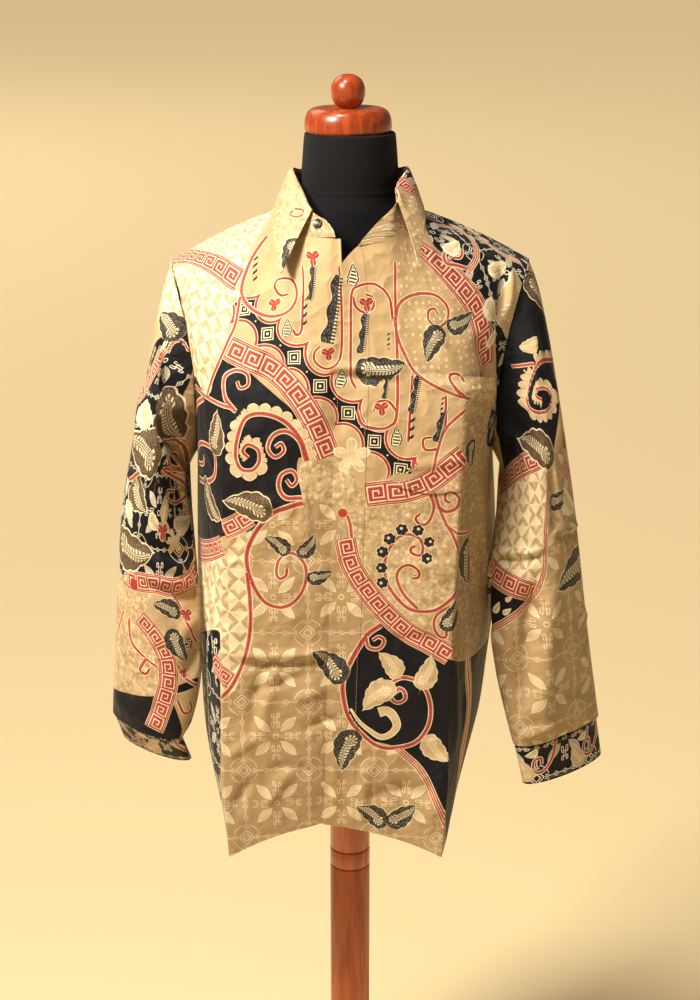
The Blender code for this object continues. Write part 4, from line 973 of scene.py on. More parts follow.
FLAT = {(side, front): flat_table(side, front) for side in (1, -1) for front in (True, False)}


def flat_place(side, level, across, front=True):
    """The place on flat cloth of each point of a panel."""
    table = FLAT[side, front]
    row = np.clip(level / HEM_LEVEL, 0, 1) * FLAT_ROWS
    column = np.clip(across, 0, 1) * FLAT_COLUMNS
    r = np.minimum(row.astype(int), FLAT_ROWS - 1)
    c = np.minimum(column.astype(int), FLAT_COLUMNS - 1)
    y, x = (row - r)[..., None], (column - c)[..., None]
    top = table[r, c] * (1 - x) + table[r, c + 1] * x
    bottom = table[r + 1, c] * (1 - x) + table[r + 1, c + 1] * x
    place = top * (1 - y) + bottom * y
    place[..., 0] += side * (across - np.clip(across, 0, 1)) * 0.3
    return place


def wrinkled(plane, places):
    """How far the soft creases of this plane lift the cloth at each place."""
    lift = np.zeros(places.shape[:-1])
    for crease in CREASES.get(plane, ()):
        crease = np.array(crease) / 1000
        start, run, (bow, wide, high) = crease[:2], crease[2:4] - crease[:2], crease[4:]
        length = np.hypot(*run)
        ahead = ((places - start) @ run) / length**2
        off = ((places - start) @ np.array([-run[1], run[0]])) / length
        off = off - bow * 4 * ahead * (1 - ahead)
        fade = np.clip(np.minimum(ahead, 1 - ahead) * 3.2, 0, 1)
        lift += high * np.exp(-((off / wide) ** 2)) * fade * fade * (3 - 2 * fade)
    return lift


def grid_of(points, places, plane, tube=False, centre=None, lift=0.0):
    """A grid of cloth with its outward normals, creased and lifted along them."""
    middle = points.mean(1, keepdims=True) if tube else np.zeros(3)
    if centre is not None:
        middle = np.array(centre)
    away = (points - middle) * (1, 1, 0)
    normals = normals_of(points, tube)
    flip = (normals * away).sum() < 0
    normals = -normals if flip else normals
    points = points + normals * (wrinkled(plane, places) + lift)[..., None]
    normals = normals_of(points, tube) * (-1 if flip else 1)
    return Grid(points, normals, places, plane, tube, flip)


# ---- the shirt's pieces as grids ----------------------------------------------------------------


def panel_levels(rows):
    return np.maximum(np.linspace(0, HEM_LEVEL, rows + 1), TOP_INSET)[:, None]


def front_grid(side, down, before, after):
    """One front, with a column on its pressed crease; the right one dips and runs on under the fly."""
    level = panel_levels(down)
    crease = STATION_PLACES[2]
    start = fly_share(level) + FLY_SEAM if side > 0 else 0 * level
    end = seam_inset(side, level)
    near = start + (crease - start) * np.linspace(0, 1, before + 1)[None]
    far = crease + (end - crease) * np.linspace(0, 1, after + 1)[None]
    across = np.concatenate([near[:, :-1], far], 1)
    level = np.broadcast_to(level, across.shape)
    points, places = panel_point(side, level, across), flat_place(side, level, across)
    if side < 0:
        shares = np.linspace(1, 0, UNDERLAP_COLUMNS + 1)[None, :-1]
        under = fly_share(level[:, :1]) * UNDERLAP_REACH * shares
        under_level = np.broadcast_to(level[:, :1], under.shape)
        points = np.concatenate([panel_point(1, under_level, under), points], 1)
        places = np.concatenate([flat_place(1, under_level, under), places], 1)
        dip = np.concatenate([1 + 0 * under, np.clip(1 - across / LAP_FADE, 0, 1)], 1)
        points = points - outward(points) * (LAP_DROP * dip)[..., None]
    return grid_of(points, places, "front")


def outward(points):
    """Unit normals of a panel's grid, away from the form."""
    normals = normals_of(points)
    return normals * np.sign((normals * points * (1, 1, 0)).sum())


def fly_grid(down, over):
    level = panel_levels(down)
    across = fly_share(level) * np.linspace(0, 1, over + 1)[None]
    level = np.broadcast_to(level, across.shape)
    return grid_of(panel_point(1, level, across), flat_place(1, level, across), "front")


def back_grid(down, half):
    level = panel_levels(down)
    points, places = [], []
    for side in (-1, 1):
        across = seam_inset(side, level, False) * np.linspace(0, 1, half + 1)[None]
        across = across[:, ::-1] if side < 0 else across[:, 1:]
        wide = np.broadcast_to(level, across.shape)
        points.append(panel_point(side, wide, across, False))
        places.append(flat_place(side, wide, across, False))
    return grid_of(np.concatenate(points, 1), np.concatenate(places, 1), "back")


def sleeve_grid(side, down, round_):
    """A sleeve, opened along the underarm: its flat u is 0 down its front and v is 0 at its hem."""
    rings = SLEEVE_LEFT if side > 0 else SLEEVE_RIGHT
    row = np.linspace(0, len(rings) - 1, down + 1)[:, None]
    angle = np.linspace(pi, -pi, round_ + 1)[None]
    scoop = ARMHOLE_SCOOP * np.maximum(0, 1 - row / SCOOP_ROWS)
    points = ring_point(rings, row, angle, scoop)
    gap = ARMHOLE_GAP * (1 + UNDERARM_EXTRA * np.sin(angle[0] / 2) ** 2)
    points[0, :, 0] += side * gap
    over, fall = running_length(points, 1), running_length(points, 0)
    front = round_ // 4
    places = np.stack([side * (over - over[:, front : front + 1]), fall[-1] - fall], -1)
    plane = "sleeve_left" if side > 0 else "sleeve_right"
    return grid_of(points, places, plane, tube=True)


def cuff_point(rings, row, share):
    """Points of a cuff's strip, which starts and ends at the back of the wrist and laps itself."""
    turn = np.asarray(share, float) * (1 + CUFF_LAP)
    angle = CUFF_START + 2 * pi * turn
    outer, inner = ring_point(rings, row, 0), ring_point(rings, row, pi)
    point = ring_point(rings, row, angle)
    across = (point - (outer + inner) / 2) - (outer - inner) / 2 * np.cos(angle)[..., None]
    across[..., 2] = 0
    away = across / np.maximum(np.linalg.norm(across, axis=-1, keepdims=True), 1e-9)
    lap = np.clip((turn - 1 + CUFF_LAP) / CUFF_LAP, 0, 1)
    return point + away * (CUFF_LAP_LIFT * lap)[..., None]


def cuff_grid(side, down, round_):
    rings = CUFF_LEFT if side > 0 else CUFF_RIGHT
    row, share = np.meshgrid(np.linspace(0, 1, down + 1), np.linspace(0, 1, round_ + 1), indexing="ij")
    points = cuff_point(rings, row, share)
    places = np.stack([running_length(points, 1), -running_length(points, 0)], -1)
    return grid_of(points, places, "cuff", centre=points.mean((0, 1)))


def stand_point(place, share):
    """Points of the collar stand, from its seam at 0 to its top at 1."""
    seam = through([fold.seam for fold in COLLAR], place)
    top = through([fold.top for fold in COLLAR], place)
    return seam + (top - seam) * np.asarray(share)[..., None]


def from_neck(points):
    away = (points - (0, NECK_CENTRE_Y, 0)) * (1, 1, 0)
    return away / np.linalg.norm(away, axis=-1, keepdims=True)


def stand_grid(down, over):
    share = np.linspace(STAND_CLEAR, 1, down + 1)[:, None]
    last = len(COLLAR) - 1
    rounding = STAND_ROUND * share**3
    place = rounding + (last - 2 * rounding) * np.linspace(0, 1, over + 1)[None]
    points = stand_point(place, np.broadcast_to(share, place.shape))
    places = np.stack([running_length(points, 1), -running_length(points, 0)], -1)
    return grid_of(points, places, "stand", centre=(0, NECK_CENTRE_Y, 0))


def leaf_grid(down, over):
    """The collar's leaf rolls out of the stand's top and falls outside it to two points."""
    place = np.linspace(1, len(COLLAR) - 2, over + 1)
    top = stand_point(place, np.ones_like(place))
    away = from_neck(top)
    rows = [top + (0, 0, rise) + away * reach for rise, reach in LEAF_ROLL]
    end = through([fold.fall for fold in COLLAR[1:-1]], place - 1)
    start = rows[-1]
    for share in (0.25, 0.5, 0.75, 1.0):
        rows.append(start + (end - start) * share + from_neck(start) * (LEAF_BULGE * sin(pi * share)))
    points = through(np.array(rows), np.linspace(0, len(rows) - 1, down + 1))
    over_run = running_length(points, 1)
    places = np.stack([over_run - over_run[:, over // 2, None], -running_length(points, 0)], -1)
    return grid_of(points, places, "leaf", centre=(0, NECK_CENTRE_Y, 0))


def pocket_grid(down, over):
    """The patch pocket lies on the left front's own points, moved out, with its mouth standing open."""
    place = np.linspace(0, len(POCKET) - 1, over + 1)
    marks = np.arange(len(POCKET))
    across, top, bottom, mouth = (np.interp(place, marks, column) for column in zip(*POCKET))
    fall = np.linspace(0, 1, down + 1)[:, None]
    level = top + (bottom - top) * fall
    across = np.broadcast_to(across, level.shape)
    points, places = panel_point(1, level, across), flat_place(1, level, across)
    lift = POCKET_LIFT + mouth * (1 - fall) ** 2
    return grid_of(points, places, "front", lift=lift)


# ---- materials ----------------------------------------------------------------------------------


class Term:
    """A value in a shader, so that its maths can be written out plainly."""

    tree = None

    def __init__(self, socket):
        self.socket = socket

    def __add__(self, other): return sum_of("ADD", self, other)
    def __radd__(self, other): return sum_of("ADD", other, self)
    def __sub__(self, other): return sum_of("SUBTRACT", self, other)
    def __rsub__(self, other): return sum_of("SUBTRACT", other, self)
    def __mul__(self, other): return sum_of("MULTIPLY", self, other)
    def __rmul__(self, other): return sum_of("MULTIPLY", other, self)
    def __truediv__(self, other): return sum_of("DIVIDE", self, other)
    def __lt__(self, other): return sum_of("LESS_THAN", self, other)
    def __gt__(self, other): return sum_of("GREATER_THAN", self, other)


def plug(node, index, value):
    if isinstance(value, Term):
        Term.tree.links.new(value.socket, node.inputs[index])
    else:
        node.inputs[index].default_value = value


def sum_of(operation, *values, clamp=False):
    node = Term.tree.nodes.new("ShaderNodeMath")
    node.operation, node.use_clamp = operation, clamp
    for index, value in enumerate(values):
        plug(node, index, value)
    return Term(node.outputs[0])


def size_of(x): return sum_of("ABSOLUTE", x)
def least(a, *more): return a if not more else sum_of("MINIMUM", a, least(*more))
def most(a, *more): return a if not more else sum_of("MAXIMUM", a, most(*more))
def there_and_back(x, span): return sum_of("PINGPONG", x, span)
def wrapped_to(x, span): return sum_of("FLOORED_MODULO", x, span)
def reach(a, b): return sum_of("SQRT", a * a + b * b)


def inside(depth, soft=0.25):
    """1 where the depth is above 0, with an edge this soft."""
    return sum_of("MULTIPLY_ADD", depth, 1 / soft, 0.5, clamp=True)


def ring(x, low, high, soft=0.25):
    return inside(least(x - low, high - x), soft)


def is_kind(kind, number):
    return sum_of("COMPARE", kind, number, 0.25)


def paint(canvas, colour, mask):
    node = Term.tree.nodes.new("ShaderNodeMix")
    node.data_type = "RGBA"
    plug(node, 0, mask)
    for index, value in ((6, canvas), (7, colour)):
        plug(node, index, value if isinstance(value, Term) else (*value, 1))
    return Term(node.outputs[2])


def field(name):
    node = Term.tree.nodes.new("ShaderNodeAttribute")
    node.attribute_name = name
    return parts(Term(node.outputs["Vector"]))


def parts(vector):
    node = Term.tree.nodes.new("ShaderNodeSeparateXYZ")
    plug(node, 0, vector)
    return [Term(out) for out in node.outputs]


def vector(x, y, z=0.0):
    node = Term.tree.nodes.new("ShaderNodeCombineXYZ")
    for index, value in enumerate((x, y, z)):
        plug(node, index, value)
    return Term(node.outputs[0])


def noise(place, scale, detail=2.0, rough=0.5):
    node = Term.tree.nodes.new("ShaderNodeTexNoise")
    plug(node, "Vector", place)
    for name, value in (("Scale", scale), ("Detail", detail), ("Roughness", rough)):
        node.inputs[name].default_value = value
    return Term(node.outputs["Fac"])


def cells_of(place, scale, randomness=1.0, feature="F1"):
    """The distance to the nearest point of a scatter, and the colour of its cell."""
    node = Term.tree.nodes.new("ShaderNodeTexVoronoi")
    node.feature = feature
    plug(node, "Vector", place)
    node.inputs["Scale"].default_value = scale
    node.inputs["Randomness"].default_value = randomness
    return Term(node.outputs["Distance"]), Term(node.outputs["Color"])


def new_material(name):
    made = bpy.data.materials.new(name)
    made.use_nodes = True
    Term.tree = made.node_tree
    return made, made.node_tree.nodes["Principled BSDF"]


def set_shader(shader, canvas, inputs):
    """The shader with this colour and these values."""
    Term.tree.links.new(canvas.socket, shader.inputs["Base Color"])
    for name, value in inputs.items():
        shader.inputs[name].default_value = value


def bump(shader, height, distance, strength=1.0):
    node = Term.tree.nodes.new("ShaderNodeBump")
    plug(node, "Height", height)
    node.inputs["Distance"].default_value = distance
    node.inputs["Strength"].default_value = strength
    Term.tree.links.new(node.outputs[0], shader.inputs["Normal"])


ROOT_HALF = 0.7071

# The key figure: cream strokes on a square of 10 by 10 cells, repeated along the band.
KEY_PATH = ((1, 1), (1, 9), (9, 9), (9, 3), (3.6, 3), (3.6, 6.6), (6.6, 6.6), (6.6, 5))
KEY_FOOT = ((1, 1), (11, 1))
KEY_CELL = 2.0  # mm
CHAIN_PERIOD = 44.1  # mm from one link of the chain to the next
CHAIN_START = 14.6  # mm
SCALLOP, SCALLOP_OFF = 22.0, 29.6  # mm, the radius of the arcs beside the chain and how far out they are
CHAIN_HALF = 25.0  # mm, the half width over which the chain and its arcs are drawn
KEY_EDGE, KEY_RED, KEY_LINE, KEY_FIGURE = 13.0, 12.4, (10.5, 11.0), 10.4  # mm off a key band's middle
LATTICE_WIDE, LATTICE_HIGH = 79.0, 88.0  # mm, one cell of the lattice
PINWHEEL = 18.6  # mm, the side of its squares
PETAL_PITCH, PETAL_LONG = 6.0, 12.0  # mm, half of one lobe along a stroke, and how far it stands out
BEAD_PITCH, FLECK_PITCH = 2.4, 2.6  # mm
HOOK_AT, HOOK_OFF = 0.27, 0.055  # share of a leaf's length, where its spine curls over, and how wide
WEAVE = 9000.0  # radians a metre
LATTICE_ON_BLACK = (0.86, 0.80, 0.66)


def key_lines(s, t):
    """The depth inside the key figure's strokes, in cells."""
    a = wrapped_to(s, KEY_CELL * 10) / KEY_CELL
    b = t / KEY_CELL + 5
    depth = None
    runs = list(zip(KEY_PATH, KEY_PATH[1:])) + [KEY_FOOT]
    for (a0, b0), (a1, b1) in runs:
        over = size_of(a - (a0 + a1) / 2) - abs(a1 - a0) / 2
        up = size_of(b - (b0 + b1) / 2) - abs(b1 - b0) / 2
        far = most(over, up)
        depth = far if depth is None else least(depth, far)
    return 0.36 - depth


def loop_line(across, ahead, half_long, radius):
    """The depth inside the outline of a small round-ended loop."""
    return 0.42 - size_of(reach(across, most(size_of(ahead) - half_long, 0.0)) - radius)


def lattice_lines(u, v):
    """The depth inside the lattice's leaves and inside its lines, in mm, and places along and off a leaf."""
    x, y = there_and_back(u, LATTICE_WIDE / 2), there_and_back(v, LATTICE_HIGH / 2)
    along, off = (x + y) * ROOT_HALF, size_of(x - y) * ROOT_HALF
    bow = (along - 22) / 13.5
    leaf = 5.6 * (1 - bow * bow) - off
    low, high = least(x, y), most(x, y)
    lines = most(
        0.5 - size_of(reach(x, y) - 2.9),
        loop_line(low - 3.4, high - 15.5, 2.6, 1.4),
        loop_line(low, high - 21.5, 2.6, 1.4),
        loop_line(low - 3.4, high - 27.0, 1.6, 1.2),
    )
    far_x, far_y = LATTICE_WIDE / 2 - x, LATTICE_HIGH / 2 - y
    edge, run = least(far_x, far_y), most(far_x, far_y)
    bead = there_and_back(run + 1.5, 7.0)
    link = most(0.45 - size_of(edge * 1.5 + bead - 4.6) * 0.7, least(0.42 - edge, bead - 4.4))
    small = 0.5 - size_of(edge * 1.4 + bead - 1.4)
    lines = most(lines, least(most(link, small), run - 11.5))
    corner = far_x + far_y
    lines = most(lines, 0.5 - least(size_of(corner - 5.2), size_of(corner - 9.6)) * 0.7)
    arcs = least(0.42 - size_of(reach(far_x, far_y) - 16.5), (edge - 3.6) * 0.5)
    return leaf, most(lines, arcs), along, off


def batik(name, values):
    """Printed cotton: its ground, fillers, bands, strokes and stamps are painted one over the other."""
    made, shader = new_material(name)
    tan, pale, red, navy, cream, brown = (
        tuple(c) for c in (values.tan, values.pale, values.red, values.navy, values.cream, values.brown)
    )
    flat = parts(uv_place("Print"))
    u, v = flat[0] * 1000, flat[1] * 1000
    place = vector(u, v)
    wobble = (noise(place, 0.09, 2.0) - 0.5) * 1.3
    u, v = u + wobble, v - wobble
    black, pinwheel, lattice = field("ground")
    floral, dots, brown_ground_and_painted_shade = field("filler")
    s, t, band_kind = field("band")
    along, off, half = field("line")
    band_end, line_end, line_kind = field("ends")
    a, b, stamp = field("stamp")
    fine = noise(place, 1.3, 3.0)
    patch = noise(place, 0.016, 3.0)
    canvas = paint(tan, brown, inside(patch - 0.55, 0.4) * 0.28)
    # The brown regions: a brown print ground on the front, and on the collar stand a painted shade for the
    # shadow under the collar's leaf.
    canvas = paint(canvas, brown, inside(brown_ground_and_painted_shade, 2.0) * 0.62)
    canvas = paint(canvas, brown, inside(lattice, 1.5) * 0.36)

    # Ring dots, then blossoms sown thickly, then the light specks of the brown ground, which on the collar
    # stand is painted shade.
    spot, _ = cells_of(place, 0.11, 0.25)
    canvas = paint(canvas, cream, inside(dots, 1.0) * ring(spot * 9.0, 1.1, 2.0, 0.5) * 0.8)
    sown = inside(most(floral, brown_ground_and_painted_shade), 1.0)
    spot, tint = cells_of(place, 0.145, 0.85)
    hue = parts(tint)[0]
    petal = sum_of("SINE", noise(place, 0.5, 0.0) * 34)
    flower = inside(2.5 + petal * 0.8 - spot * 6.9, 0.5) * inside(spot * 6.9 - 0.55, 0.4)
    canvas = paint(canvas, cream, sown * flower * inside(hue - 0.25, 0.2) * (0.62 - inside(brown_ground_and_painted_shade, 1.0) * 0.3))
    curls = 0.055 - size_of(noise(place, 0.16, 1.0) - 0.5)
    canvas = paint(canvas, cream, sown * inside(curls - 0.035, 0.02) * 0.45)
    dust, _ = cells_of(place, 0.6, 1.0)
    canvas = paint(canvas, cream, sown * inside(0.24 - dust, 0.1) * 0.4)
    canvas = paint(canvas, brown, inside(floral, 1.0) * inside(noise(place, 0.12, 1.0) - 0.56, 0.1) * 0.4)

    # The pinwheel: squares set on their corners, each half pale and half a stippled chevron, turning
    # round every other corner.
    p, q = (u + v) * ROOT_HALF, (u - v) * ROOT_HALF
    turned_p = 1 - (wrapped_to(q, PINWHEEL * 2) > PINWHEEL)
    turned_q = wrapped_to(p, PINWHEEL * 2) > PINWHEEL
    fold_p, fold_q = wrapped_to(p, PINWHEEL), wrapped_to(q, PINWHEEL)
    fold_p = fold_p + turned_p * (PINWHEEL - fold_p * 2)
    fold_q = fold_q + turned_q * (PINWHEEL - fold_q * 2)
    near, half_square = least(fold_p, fold_q), inside(PINWHEEL - fold_p - fold_q, 0.5)
    held = inside(pinwheel, 0.4)
    canvas = paint(canvas, pale, held)
    canvas = paint(canvas, cream, held * (1 - half_square) * 0.3)
    stipple = inside(0.62 - cells_of(place, 0.8, 1.0)[0], 0.4) * 0.4 + 0.45
    shaded = paint(tan, brown, 0.5)
    canvas = paint(canvas, shaded, held * half_square * ring(near, 0.7, 5.4, 0.8) * stipple)
    outline = ring(near, 0.7, 1.5, 0.5) * 0.5 + ring(near, 4.7, 5.3, 0.5) * 0.3
    canvas = paint(canvas, brown, held * half_square * outline)
    canvas = paint(canvas, shaded, held * half_square * inside(near - 5.4, 0.6) * stipple * 0.3)

    # Black ground, and the lattice over it or over tan.
    dark = inside(black, 0.3)
    canvas = paint(canvas, navy, dark)
    leaf, lines, leaf_along, leaf_off = lattice_lines(u, v)
    held = inside(lattice, 0.5)
    hatch = sum_of("SINE", (leaf_along + leaf_off * 1.6) * 2.1)
    vein = inside(0.35 - leaf_off, 0.3)
    tone = paint(cream, LATTICE_ON_BLACK, dark)
    canvas = paint(canvas, tone, held * inside(lines + dark * 0.12, 0.4) * (0.74 + dark * 0.2))
    leaf_tone = 0.44 + 0.26 * inside(hatch, 0.6) + 0.26 * most(inside(0.8 - leaf, 0.4), vein)
    canvas = paint(canvas, tone, held * inside(leaf, 0.4) * leaf_tone)

    canvas = paint_bands(canvas, s, t, band_kind, band_end, place, red, navy, cream)
    canvas = paint_strokes(canvas, along, off, half, line_kind, line_end, red, cream, tan, brown)
    canvas = paint_stamps(canvas, a, b, stamp, place, red, navy, cream, tan, pale, brown)

    weave = sum_of("SINE", flat[0] * WEAVE) * sum_of("SINE", flat[1] * WEAVE)
    mottled = noise(place, 0.03, 4.0)
    slub = noise(vector(u * 1.4, v * 0.05), 1.0, 2.0)
    canvas = shade_by(canvas, 0.86 + mottled * 0.17 + (fine - 0.5) * 0.07 + slub * 0.07)
    set_shader(shader, canvas, {
        "Roughness": values.roughness, "Sheen Weight": values.sheen, "Sheen Roughness": 0.35,
        "Specular IOR Level": values.gloss,
    })
    crumple = size_of(noise(place, 0.017, 2.0) - 0.5) * -75 + size_of(noise(place, 0.045, 2.0) - 0.5) * -17
    bump(shader, weave * 0.4 + fine + crumple, 0.00025, 0.7)
    return made


def shade_by(canvas, amount):
    node = Term.tree.nodes.new("ShaderNodeHueSaturation")
    plug(node, "Color", canvas)
    plug(node, "Value", amount)
    return Term(node.outputs[0])


def uv_place(name):
    node = Term.tree.nodes.new("ShaderNodeUVMap")
    node.uv_map = name
    return Term(node.outputs[0])


def paint_bands(canvas, s, t, kind, end, place, red, navy, cream):
    here = inside(end, 0.4)
    off = size_of(t)
    key = here * inside(kind, 0.1)
    canvas = paint(canvas, cream, key * inside(KEY_EDGE - off))
    canvas = paint(canvas, red, key * inside(KEY_RED - off))
    canvas = paint(canvas, cream, key * ring(off, *KEY_LINE, 0.3) * 0.9)
    stipple = inside(0.3 - cells_of(place, 1.1, 0.6)[0], 0.3) * 0.2
    canvas = paint(canvas, cream, key * inside(KEY_FIGURE - off) * stipple)
    canvas = paint(canvas, cream, key * inside(key_lines(s, t), 0.2) * inside(KEY_FIGURE - off) * 0.9)
    chain = here * inside(-0.2 - kind, 0.1) * inside(CHAIN_HALF - off)
    x = there_and_back(s - CHAIN_START - CHAIN_PERIOD / 2, CHAIN_PERIOD / 2)
    bite = reach(x, off - SCALLOP_OFF) - SCALLOP
    canvas = paint(canvas, cream, chain * inside(bite + 0.5))
    canvas = paint(canvas, red, chain * inside(bite - 0.3))
    canvas = paint(canvas, cream, chain * ring(bite, 3.1, 3.9) * 0.9)
    canvas = paint(canvas, navy, chain * inside(bite - 3.9))
    nested = (CHAIN_PERIOD / 2 - x) + off
    rings = most(0.7 - size_of(nested - 10.0), 0.9 - size_of(nested - 6.2), 2.0 - nested)
    canvas = paint(canvas, cream, chain * inside(rings) * inside(11.0 - nested))
    return paint(canvas, cream, chain * inside(1.0 - reach(x, off)))


def paint_strokes(canvas, along, off, half, kind, end, red, cream, tan, brown):
    here = inside(end + 0.6, 0.6)
    petalled = here * is_kind(kind, 2)
    lobe = there_and_back(along, PETAL_PITCH)
    edge = PETAL_LONG - (PETAL_PITCH - lobe) * (PETAL_PITCH - lobe) * 0.13 + off
    petals = petalled * inside(-0.4 - off) * inside(edge)
    canvas = paint(canvas, cream, petals)
    canvas = paint(canvas, paint(cream, tan, 0.75), petals * inside(edge - 0.8) * inside(lobe - 0.5))
    canvas = paint(canvas, brown, petals * inside(0.4 - lobe) * inside(-3.5 - off))
    wide = size_of(off)
    plume = here * is_kind(kind, 4)
    canvas = paint(canvas, cream, here * inside(half + 0.9 - wide))
    canvas = paint(canvas, red, (here - plume) * inside(half - wide))
    flecks = inside(0.5 - wrapped_to(along + wide, FLECK_PITCH) / FLECK_PITCH, 0.3) * 0.45
    canvas = paint(canvas, paint(tan, cream, flecks), plume * inside(half - 0.3 - wide))
    rail = here * is_kind(kind, 3)
    canvas = paint(canvas, paint(cream, tan, 0.35), rail * inside(half - 2.0 - wide))
    canvas = paint(canvas, red, rail * inside(half * 0.2 - wide))
    bead = reach(wrapped_to(along, BEAD_PITCH) - BEAD_PITCH / 2, wide - half + 0.95)
    beads = inside(0.42 - bead, 0.3)
    return paint(canvas, cream, (here - plume) * beads * inside(half - 1.7, 0.2) * 0.6)


def paint_stamps(canvas, a, b, kind, place, red, navy, cream, tan, pale, brown):
    """Stamps are drawn in shares of their length: a runs 0 to 1 from foot to tip, b is to the side."""
    inner = sum_of("MULTIPLY", a, 1.0, clamp=True)
    bent = b + sum_of("SINE", inner * 3.1416) * 0.07
    off = size_of(bent)
    scallop = size_of(sum_of("SINE", a * 12.5)) * 0.034
    body = sum_of("SQRT", inner) * (1.0 - a) * 0.68 + scallop * inside(inner - 0.06, 0.1)
    shape = body - off
    leafy = inside(least(kind - 0.5, 5.5 - kind))  # kinds 1 to 5
    is_navy, is_tan, is_white, is_small = (is_kind(kind, number) for number in (1, 3, 4, 5))
    halo = least(shape + 0.025, a + 0.02)
    canvas = paint(canvas, cream, leafy * inside(halo, 0.015) * (1 - is_navy * 0.45))
    body_tone = paint(tuple(c + 0.012 for c in navy), paint(brown, navy, 0.7), is_kind(kind, 2))
    body_tone = paint(body_tone, paint(tan, cream, 0.12), is_tan)
    body_tone = paint(body_tone, cream, is_white)
    canvas = paint(canvas, body_tone, leafy * inside(shape, 0.012))
    canvas = paint(canvas, cream, is_small * inside(shape - 0.07, 0.02))
    bars = inside(sum_of("SINE", a * 40), 0.4)
    canvas = paint(canvas, body_tone, is_small * inside(shape - 0.1, 0.02) * bars)
    mark_tone = paint(cream, paint(tan, brown, 0.6), is_white)
    inner_side = inside(shape - 0.02, 0.015)
    spots = inside(0.33 - cells_of(place, 1.0, 0.8)[0], 0.2) * inner_side
    canvas = paint(canvas, mark_tone, leafy * spots * (0.4 - is_tan * 0.3) * inside(4.5 - kind, 0.2))
    curl = reach(a - HOOK_AT, bent - HOOK_OFF)
    spine = most(size_of(bent - sum_of("SINE", a * 5.6) * 0.03), HOOK_AT - a, a - 0.93)
    hook = most(size_of(curl - HOOK_OFF), (a - HOOK_AT) * 0.9 - least(bent * 1.2, 0.05))
    line = least(spine, hook)
    turn = sum_of("ARCTAN2", bent - HOOK_OFF, a - HOOK_AT)
    on_hook = inside(0.24 - a, 0.02)
    beat = sum_of("SINE", (a + size_of(bent) * 0.5) * 92) * (1 - on_hook) + sum_of("SINE", turn * 9) * on_hook
    lash = least(line - 0.036, least(0.088, (1.04 - a) * 0.26) - line, beat * 0.02 + 0.003)
    marks = most(ring(line, 0.009, 0.022, 0.01), inside(lash, 0.012))
    canvas = paint(canvas, mark_tone, leafy * inner_side * marks * 0.95 * inside(4.5 - kind, 0.2))

    # Shards with a combed side, and rows of short strokes.
    off = size_of(b)
    ink = tuple(c + 0.014 for c in navy)
    shard = is_kind(kind, 6)
    side = 0.075 + sum_of("SINE", a * 17) * 0.03
    canvas = paint(canvas, cream, shard * inside(least(side - b + 0.015, b + 0.085, a, 1 - a), 0.012) * 0.7)
    canvas = paint(canvas, ink, shard * inside(least(side - b, b + 0.06, a, 1 - a), 0.012))
    comb = least(sum_of("SINE", a * 120) * 0.03, -0.05 - b, b + 0.12, a, 1 - a)
    canvas = paint(canvas, ink, shard * inside(comb, 0.01))
    flecks = inside(0.3 - cells_of(place, 0.6, 0.9)[0], 0.15)
    body = inside(least(side - b - 0.02, b + 0.04, a, 1 - a), 0.02)
    canvas = paint(canvas, cream, shard * flecks * 0.35 * body)
    rows = is_kind(kind, 7)
    comma = least(sum_of("SINE", a * 22 + b * 16) * 0.05 - 0.016, 0.08 - off, a, 1 - a)
    canvas = paint(canvas, ink, rows * inside(comma, 0.02))

    # Blossoms, buds, dots and lozenges.
    x = a - 0.5
    far = reach(x, b)
    turn = sum_of("ARCTAN2", b, x)
    soft = tuple((c + d) / 2 for c, d in zip(tan, pale))
    for number, count, low, depth, colour in (
        (8, 3, 0.15, 0.33, red), (9, 5, 0.14, 0.36, soft), (10, 6, 0.42, 0.1, ink)
    ):
        lobes = low + depth * size_of(sum_of("COSINE", turn * (count / 2)))
        here = is_kind(kind, number)
        canvas = paint(canvas, cream, here * inside(lobes + 0.05 - far, 0.03))
        canvas = paint(canvas, colour, here * inside(lobes - far, 0.03))
        folds = least(0.05 - size_of(sum_of("SINE", turn * (count / 2))), lobes - far)
        heart = folds if number < 10 else 0.13 - reach(x - 0.12, b)
        canvas = paint(canvas, cream, here * inside(heart, 0.03) * 0.8)
    canvas = paint(canvas, red, is_kind(kind, 11) * inside(0.46 - far, 0.04))
    nested = size_of(x) + off
    lozenge = is_kind(kind, 12)
    canvas = paint(canvas, red, lozenge * inside(0.62 - nested, 0.03))
    canvas = paint(canvas, navy, lozenge * inside(0.5 - nested, 0.03))
    rings = least(size_of(nested - 0.36), size_of(nested - 0.18))
    return paint(canvas, cream, lozenge * inside(0.04 - rings, 0.03))


# ---- buttons, form and stand --------------------------------------------------------------------

BUTTON_RADIUS, BUTTON_THICK, BUTTON_DISH = 0.0056, 0.0024, 0.6
BAR_OFF, STRAND_PITCH, STRAND_LONG = 0.0011, 0.00028, 0.003  # the two bars of its thread
STRAND_RISE, STRAND_RADIUS = 0.0004, 0.00017
BASE_RADIUS, BASE_HEIGHT, BASE_STEP, BASE_STEP_RADIUS, BASE_ROUND = 0.190, 0.032, 0.006, 0.060, 0.008
POST_RADIUS, POST_GROOVES, GROOVE_DEPTH, GROOVE_HALF = 0.0255, (0.591, 0.567), 0.0012, 0.0016
TORSO_BOTTOM, NECK_TOP = 0.780, 1.5010
CAP_RADIUS, CAP_TOP, CAP_DISH, CAP_LEAN, CAP_DISH_RADIUS = 0.0505, 1.5295, 0.0036, -0.0022, 0.0225
CAP_PROFILE = (  # share of the radius, share of the height
    (0.46, 0.98), (0.62, 1.0), (0.78, 0.97), (0.90, 0.85), (0.97, 0.62), (1.0, 0.34), (0.995, 0.12),
    (0.96, 0.0),
)
